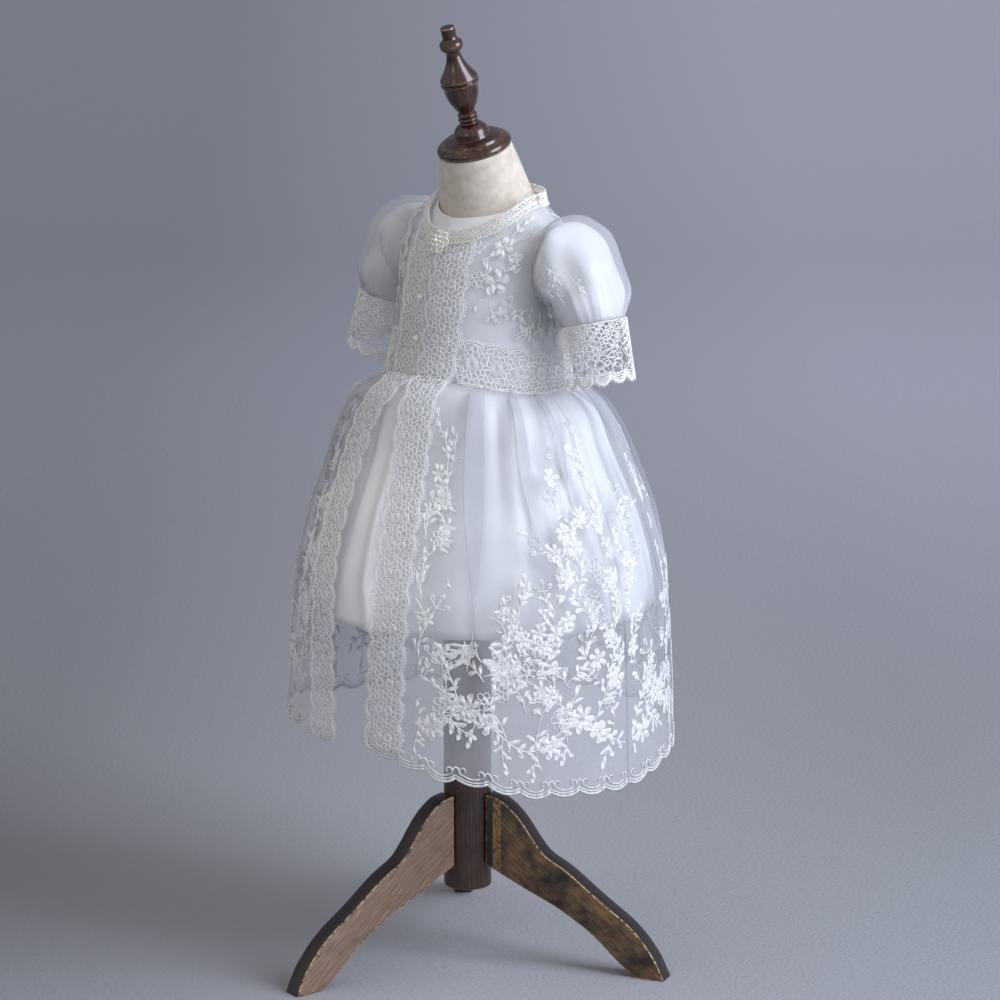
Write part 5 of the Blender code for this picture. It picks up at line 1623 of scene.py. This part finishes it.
turnings = {
    "base": (-0.0065, 0.0134, 0.854),
    "lean": 18.0,
    # distance along the axis and radius, in millimetres
    "cap": [(0, 36.8), (0.8, 37.8), (2.2, 38.5), (4.6, 38.5), (6.6, 37.4), (8.2, 35.6), (9.2, 33),
        (9.6, 30.4), (10.4, 30), (12, 29.2), (12.8, 27.2), (13.2, 21.4), (13.8, 18.6), (15, 18),
        (18.6, 18), (20.6, 17.3), (23.6, 15.6), (25.8, 13.2), (27, 11)],
    "finial": [(27.3, 8), (28, 9.3), (29, 9.8), (30, 9.3), (30.5, 8.4), (31.3, 9.2), (33, 10.3),
        (34.3, 9.6), (34.9, 8.7), (35.8, 9.5), (37.5, 10), (38.8, 9.2), (39.8, 8.1), (41.2, 8.5),
        (43.2, 9.6), (46, 11.2), (50, 13.3), (54.5, 15.2), (60, 16.8), (65, 17.6), (68.8, 17.9),
        (69.8, 18.4), (70.8, 19.4), (72, 19.7), (73.3, 19.5), (74.1, 18.4), (74.7, 18.3), (75.5, 19.3),
        (76.8, 19.6), (78.2, 18.9), (81, 17.2), (85, 14.6), (90, 11.6), (95, 9.3), (100, 7.9), (104, 7.3),
        (105.6, 7.7), (107.2, 9.4), (108.6, 10.8), (110.6, 11.8), (113, 12.1), (115.4, 11.7),
        (117.2, 10.2), (118.6, 8.4), (120, 7.3), (123, 7.3), (130, 7.5), (131.2, 7.4), (132, 6.8)],
    "pole": [(75, 23.5), (75.4, 24.4), (76.5, 25), (180, 25), (320, 25), (469.7, 25)],
}
neckCap = turnedPiece("neck_cap_turned", turnings["cap"], turnedWood, turnings["base"], turnings["lean"],
                      [(0.0005, 0.003, 0.25), (0.009, 0.0098, 0.2)])
finial = turnedPiece("finial_turned", turnings["finial"], turnedWood, turnings["base"], turnings["lean"],
                     [(0.1305, 0.1316, 1.3), (0.0715, 0.0725, 0.35), (0.0765, 0.0772, 0.35),
                      (0.1125, 0.114, 0.3)])
column = turnedPiece("column_turned", turnings["pole"], poleWood, (*columnAxis, 0.0), 0.0,
                     [(0.074, 0.0756, 0.7)])

legBoard = {
    "thickness": 0.022,
    "arris": 0.0015,               # width of the worn edge
    # distance from the column's axis and height, in millimetres
    "upper": [(25.3, 178), (42, 174), (62, 158), (83, 130), (95, 118), (118, 105), (153, 79), (188, 54),
        (212, 27), (226, 0)],
    "lower": [(194, 0), (173, 16), (146, 40), (111, 62), (76, 78), (48, 91), (25.3, 102)],
    "grainSlope": -38.0,           # degrees
    # direction, wood of the flat faces, whether the flat face has painted shade next to the column and a
    # paler strip beyond it
    "legs": [(-11.0, sawnBoard, False), (109.0, planedBoard, True), (224.0, sawnBoard, False)],
    "strip": (0.0335, 0.0425),
}


def sawnLine(points):
    # a smooth saw line through the marked points, four steps to each
    return throughMarks(points, 4 * (len(points) - 1))[0]


def makeLeg(number, direction, wood, strip):
    outline = np.concatenate([sawnLine(metres(legBoard[edge])) for edge in ("upper", "lower")])
    board = drawDisc(f"leg_board_{number}", len(outline), 0.1, wood, edgeStainAndShade)
    for index, (out, height) in zip(list(board.data.polygons[0].vertices), outline):
        board.data.vertices[index].co = (-legBoard["thickness"] / 2, -out, max(height, 0))
    setEditMode(board)
    bpy.ops.mesh.extrude_region_move(TRANSFORM_OT_translate={"value": (legBoard["thickness"], 0, 0)})
    for out in legBoard["strip"] if strip else ():
        bpy.ops.mesh.select_all(action="SELECT")
        bpy.ops.mesh.bisect(plane_co=(0, -out, 0), plane_no=(0, 1, 0))
    bpy.ops.mesh.select_all(action="SELECT")
    bpy.ops.mesh.normals_make_consistent(inside=False)
    bpy.ops.object.mode_set(mode="OBJECT")
    bevel = board.modifiers.new("worn arrises", "BEVEL")
    bevel.width, bevel.segments = legBoard["arris"], 2
    bevel.limit_method, bevel.angle_limit = "ANGLE", math.radians(60)
    bpy.ops.object.modifier_apply(modifier=bevel.name)
    freshMap(board, "grain")
    board.data.attributes.new("wear", "FLOAT", "CORNER")
    grain, wear = board.data.uv_layers["grain"], board.data.attributes["wear"]
    slope = math.radians(legBoard["grainSlope"])
    for face in board.data.polygons:
        flatSide = abs(face.normal.x) > 0.98
        arris = not flatSide and abs(face.normal.x) > 0.2
        out = -face.center.y
        # the strip beyond the column's shade is drawn paler, in the worn colour
        bare = strip and flatSide and legBoard["strip"][0] < out < legBoard["strip"][1]
        # painted shade: next to the column the flat face takes the near-black edge wood
        shaded = strip and flatSide and out < legBoard["strip"][0]
        face.material_index = 0 if flatSide and not shaded else 1
        for loop in face.loop_indices:
            spot = board.data.vertices[board.data.loops[loop].vertex_index].co
            along = -spot.y * math.cos(slope) + spot.z * math.sin(slope)
            aside = spot.y * math.sin(slope) + spot.z * math.cos(slope) if flatSide else spot.x + 0.3
            grain.data[loop].uv = (along + number, aside + 0.17 * number)
            wear.data[loop].value = 1.0 if arris else 0.7 if bare else 0.0
    turnAndSet(board, "Z", direction, (*columnAxis, 0), 35)
    return board


legs = [makeLeg(number, *leg) for number, leg in enumerate(legBoard["legs"], start=1)]

linenForm = {
    # height, half width, half depth, centre, tilt
    "rows": [(0.47, 0.085, 0.076, 0.012, 0), (0.482, 0.093, 0.082, 0.012, 0), (0.55, 0.094, 0.085, 0.016, 0),
        (0.614, 0.088, 0.082, 0.018, 0), (0.66, 0.0825, 0.074, 0.02, 0), (0.7, 0.0795, 0.07, 0.022, 0),
        (0.74, 0.0795, 0.061, 0.026, 0), (0.765, 0.072, 0.053, 0.031, 0), (0.782, 0.061, 0.051, 0.033, 2),
        (0.794, 0.0518, 0.0485, 0.032, 5), (0.822, 0.0444, 0.0436, 0.024, 12),
        (0.8537, 0.0375, 0.0375, 0.013, 18)],
    "sides": 72,
    "rings": 70,
}


def makeForm():
    rows = linenForm["rows"]
    heights = np.linspace(rows[0][0], rows[-1][0], linenForm["rings"])
    halfWidth, halfDepth, centre, tilt = (smoothCurve(rows, i)(heights)[:, None] for i in (1, 2, 3, 4))
    turn = np.linspace(0, 2 * math.pi, linenForm["sides"], endpoint=False)
    forward = halfDepth * np.cos(turn)
    lean = np.radians(tilt)
    spots = joined(halfWidth * np.sin(turn), centre - forward * np.cos(lean),
                   heights[:, None] - forward * np.sin(lean))
    count, sides = spots.shape[:2]
    points = np.concatenate((spots.reshape(-1, 3), spots[:1].mean(axis=1), spots[-1:].mean(axis=1)))
    index = np.arange(count * sides).reshape(count, sides)
    after = np.roll(index, -1, axis=1)
    faces = np.stack((index[:-1], after[:-1], after[1:], index[1:]), axis=2).reshape(-1, 4).tolist()
    bottom, top = count * sides, count * sides + 1
    faces += [(bottom, int(after[0, i]), int(index[0, i])) for i in range(sides)]
    faces += [(top, int(index[-1, i]), int(after[-1, i])) for i in range(sides)]
    form = plainMesh("linen_form_padded", points + (*columnAxis, 0), faces, linen)
    form.data.set_sharp_from_angle(angle=math.radians(50))
    wrapMap(form, "cloth", 0.08)
    return form


linenTorso = makeForm()
print("form and stand built")


# beads and the flower clasp

beadWork = {
    "upper": (-0.009, 0.707),
    "lower": (-0.009, 0.657),
    "clasp": (-0.0015, 0.7625),
    "beadRadius": 0.00125,
    "lift": 0.0022,                # over the cloth, where the lace lies under them
}


def oneBead(name, radius):
    # a pressed bead: a ball flattened at its two ends, where the thread comes out
    bpy.ops.object.select_all(action="DESELECT")
    bpy.ops.mesh.primitive_uv_sphere_add(segments=10, ring_count=7, radius=radius)
    bead = bpy.context.object
    bead.name = name
    setEditMode(bead)
    bpy.ops.transform.resize(value=(1, 1, 0.84), center_override=(0, 0, 0))
    bpy.ops.object.mode_set(mode="OBJECT")
    bpy.ops.object.shade_smooth()
    return bead


def beadCluster(name, aside, height, spots, lift):
    # spots are u, v and rise in millimetres from the cluster's middle
    angle = math.degrees(math.asin(aside / float(bodiceWidth(height))))
    place = lambda u, v: bodiceAt(angle + np.degrees(u / bodiceWork["radius"]), height + v)
    model = oneBead("bead_model", beadWork["beadRadius"])
    source = np.array([vertex.co for vertex in model.data.vertices])
    faces = [tuple(face.vertices) for face in model.data.polygons]
    points, allFaces = [], []
    for u, v, rise, size in spots:
        spot, normal = surfaceFrame(place, np.array([[u / 1000]]), np.array([[v / 1000]]))
        middle = spot[0, 0] + normal[0, 0] * (lift + rise / 1000)
        base = len(points) * len(source)
        points.append(source * size + middle + (*columnAxis, 0))
        allFaces += [tuple(int(i) + base for i in face) for face in faces]
    bpy.data.objects.remove(model, do_unlink=True)
    return plainMesh(name, np.concatenate(points), allFaces, pearl)


def roundSpots(count, radius, rise, size, turn=0.0):
    turns = [turn + 2 * math.pi * i / count for i in range(count)]
    return [(radius * math.cos(turn), radius * math.sin(turn), rise, size) for turn in turns]


buttonSpots = [(0, 0, 2.2, 1.25)] + roundSpots(6, 2.6, 0.8, 1.0) + roundSpots(3, 1.3, 1.9, 0.7, 0.4)
claspSpots = [(0, 0, 5.0, 2.0)] + roundSpots(6, 4.4, 4.2, 1.4) + roundSpots(8, 10.0, 2.2, 1.0, 0.3)
upperButton, lowerButton, claspBeads = (
    beadCluster(name, *beadWork[part], spots, beadWork["lift"])
    for part, name, spots in (("upper", "bead_button_upper_beads", buttonSpots),
                              ("lower", "bead_button_lower_beads", buttonSpots),
                              ("clasp", "neck_flower_clasp_beads", claspSpots)))


def claspPlace(u, v):
    return bodiceAt(np.degrees(u / bodiceWork["radius"]), beadWork["clasp"][1] + v)


petalLines = [ring(*around(0, 0, far, heading + turned), size, 1.5)
              for far, size, turned in ((7.4, 3.5, 0), (7.4, 1.8, 0), (4.4, 2.6, 30))
              for heading in range(0, 360, 60)] + [ring(0, 0, 1.9, 1.4)]
claspFlower = stitch("neck_flower_clasp_crochet", claspPlace, petalLines, ivoryLace, lift=0.0028)
print("beads strung")


# names, and what replaces what

standIns = {
    "dress_bodice_front": dressBodiceFront, "dress_bodice_back": dressBodiceBack,
    "dress_skirt_front": dressSkirtFront, "dress_skirt_back": dressSkirtBack,
    "coat_bodice_back": coatBack, "coat_skirt_back": coatSkirts["back"],
    "waist_lace_back": waistLaces["back"], "neck_lace_back": neckLaces["back"],
    "bead_button_upper": upperButton, "bead_button_lower": lowerButton,
    "neck_flower_clasp": claspBeads, "torso_form": linenTorso,
    "neck_cap": neckCap, "finial": finial, "column": column,
    **{f"leg_{number}": board for number, board in enumerate(legs, start=1)},
}
sewnOn = [skirtEmbroidery["back"], hems["back"], bodiceEmbroidery["back"]]
for side in ("left", "right"):
    standIns.update({
        f"dress_sleeve_{side}": sleeveParts[side]["satin"], f"coat_sleeve_{side}": sleeveParts[side]["coat"],
        f"coat_bodice_front_{side}": coatFronts[side],
        f"coat_skirt_front_{side}": coatSkirts[f"front_{side}"],
        f"waist_lace_front_{side}": waistLaces[f"front_{side}"],
        f"neck_lace_front_{side}": neckLaces[side], f"front_lace_{side}": frontLaces[side],
        f"cuff_lace_{side}_front": cuffs[side, "front"], f"cuff_lace_{side}_back": cuffs[side, "back"],
    })
    sewnOn += [skirtEmbroidery[f"front_{side}"], hems[f"front_{side}"], bodiceEmbroidery[side],
               sleeveEmbroidery[side]]
for node, piece in standIns.items():
    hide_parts(node)
for piece in (*standIns.values(), *sewnOn, claspFlower):
    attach(piece, "root")


# floor, backdrop, light and camera

studio = {
    "wall": [(0.15, "#abaebb"), (0.85, "#d1d6e8")],       # from the left to the right: painted light, darker on the left and paler towards the window light on the right
    # from the left to the right: painted light, paler in the middle where the stand's shade falls
    "floor": [(0.22, "#919298"), (0.5, "#b0b1b6"), (0.78, "#9b9ea4")],
    # the paper lies flat far behind the stand, bends up and hangs: distance, radius, height, half its width
    "sweep": (4.7, 4.5, 20.0, 22.0),
    "change": (0.4, 3.6),          # where the floor's colour begins and ends to pass into the wall's
    "turn": 42.0,                  # degrees that the camera stands to the wearer's left of the front
    "world": ("#b6b4b4", 1.11),    # colour, strength
    # millimetres, place, degrees tipped up from straight down
    "camera": (137.16, (2.5885, -2.8305, 1.3555), 77.3),
    # place, aim, size, power, colour
    "lights": {
        "window_light": ((2.33, 0.62, 1.75), (0.0, 0.0, 0.5), (1.5, 2.2), 82.0, "#e6eeff"),
        "small_lamp": ((0.2, -2.6, 1.6), (0.0, 0.0, 0.6), (0.3, 0.3), 2.0, "#ffffff"),
    },
    # a narrow spot on the satin between the coat's edges: place, aim, cone, power
    "spot": ((1.02, -1.9, 1.29), (0.0, -0.13, 0.475), 7.0, 27.0),
}


def makeBackdrop():
    # a seamless sweep of matt, faintly mottled paper, square to the camera: floor, a wide bend, wall.
    # The wall is painted paler towards the right and the floor paler in its middle than at its sides, as
    # painted light, and the floor's colour passes into the wall's behind the stand
    turn = math.radians(studio["turn"])
    side, away = (math.cos(turn), math.sin(turn), 0.0), (-math.sin(turn), math.cos(turn), 0.0)
    material, tree, shader = newMaterial("Backdrop paper, pale grey",
                                         {"Roughness": 0.95, "Specular IOR Level": 0.1})
    place = addNode(tree, "ShaderNodeTexCoord").outputs["Object"]
    across, behind = (addNode(tree, "ShaderNodeVectorMath", {"operation": "DOT_PRODUCT", 1: direction},
                              {0: place}).outputs["Value"] for direction in (side, away))
    aside = addNode(tree, "ShaderNodeMapRange", {"From Min": -1.0, "From Max": 1.0},
                    {"Value": across}).outputs["Result"]
    wall, floor = (addNode(tree, "ShaderNodeValToRGB", {"stops": studio[part]},
                           {"Fac": aside}).outputs["Color"] for part in ("wall", "floor"))
    start, end = studio["change"]
    far = addNode(tree, "ShaderNodeMapRange",
                  {"From Min": start, "From Max": end, "interpolation_type": "SMOOTHSTEP"},
                  {"Value": behind}).outputs["Result"]
    paper = addNode(tree, "ShaderNodeMix", {"data_type": "RGBA"}, {0: far, 6: floor, 7: wall}).outputs[2]
    mottle = addNode(tree, "ShaderNodeTexNoise", {"Scale": 190.0, "Detail": 2.0},
                     {"Vector": place}).outputs["Fac"]
    bump = addNode(tree, "ShaderNodeBump", {"Strength": 0.35, "Distance": 0.003},
                   {"Height": mottle}).outputs["Normal"]
    tree.links.new(paper, shader.inputs["Base Color"])
    tree.links.new(bump, shader.inputs["Normal"])

    flat, radius, top, reach = studio["sweep"]
    bends = np.linspace(0, math.pi / 2, 25)
    outs = np.concatenate(([-reach], flat + radius * np.sin(bends), [flat + radius]))
    highs = np.concatenate(([0.0], radius - radius * np.cos(bends), [top])) - 0.0002
    points = [np.array(away) * out + np.array(side) * across + (0, 0, high)
              for out, high in zip(outs, highs) for across in (-reach, reach)]
    faces = [(i, i + 1, i + 3, i + 2) for i in range(0, len(points) - 2, 2)]
    return plainMesh("backdrop", points, faces, material)


makeBackdrop()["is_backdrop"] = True


def hangLamp(name, kind, spot, aim, power):
    light = bpy.data.lights.new(name, kind)
    light.energy = power
    lamp = intoScene(name, light)
    lamp.location = spot
    lamp.visible_camera = False
    lamp.rotation_euler = (Vector(aim) - Vector(spot)).to_track_quat("-Z", "Y").to_euler()
    return light


for name, (spot, aim, size, power, colour) in studio["lights"].items():
    panel = hangLamp(name, "AREA", spot, aim, power)
    panel.shape = "RECTANGLE"
    panel.size, panel.size_y = size
    panel.color = linear(colour)[:3]
spot, aim, cone, power = studio["spot"]
beam = hangLamp("satin_spot", "SPOT", spot, aim, power)
beam.spot_size, beam.spot_blend, beam.shadow_soft_size = math.radians(cone), 1.0, 0.04

world = bpy.context.scene.world or bpy.data.worlds.new("studio")
bpy.context.scene.world = world
world.use_nodes = True
sky = world.node_tree.nodes["Background"]
sky.inputs["Color"].default_value = linear(studio["world"][0])
sky.inputs["Strength"].default_value = studio["world"][1]

camera = intoScene("camera", bpy.data.cameras.new("camera"))
camera.data.lens, camera.location, tip = studio["camera"]
camera.data.sensor_width = 36.0
camera.rotation_euler = (math.radians(tip), 0.0, math.radians(studio["turn"]))
bpy.context.scene.camera = camera
bpy.context.scene.view_settings.view_transform = "Standard"
print("light and camera set")

{"cad": cadBox, "looks": [list(corner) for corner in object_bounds()]}
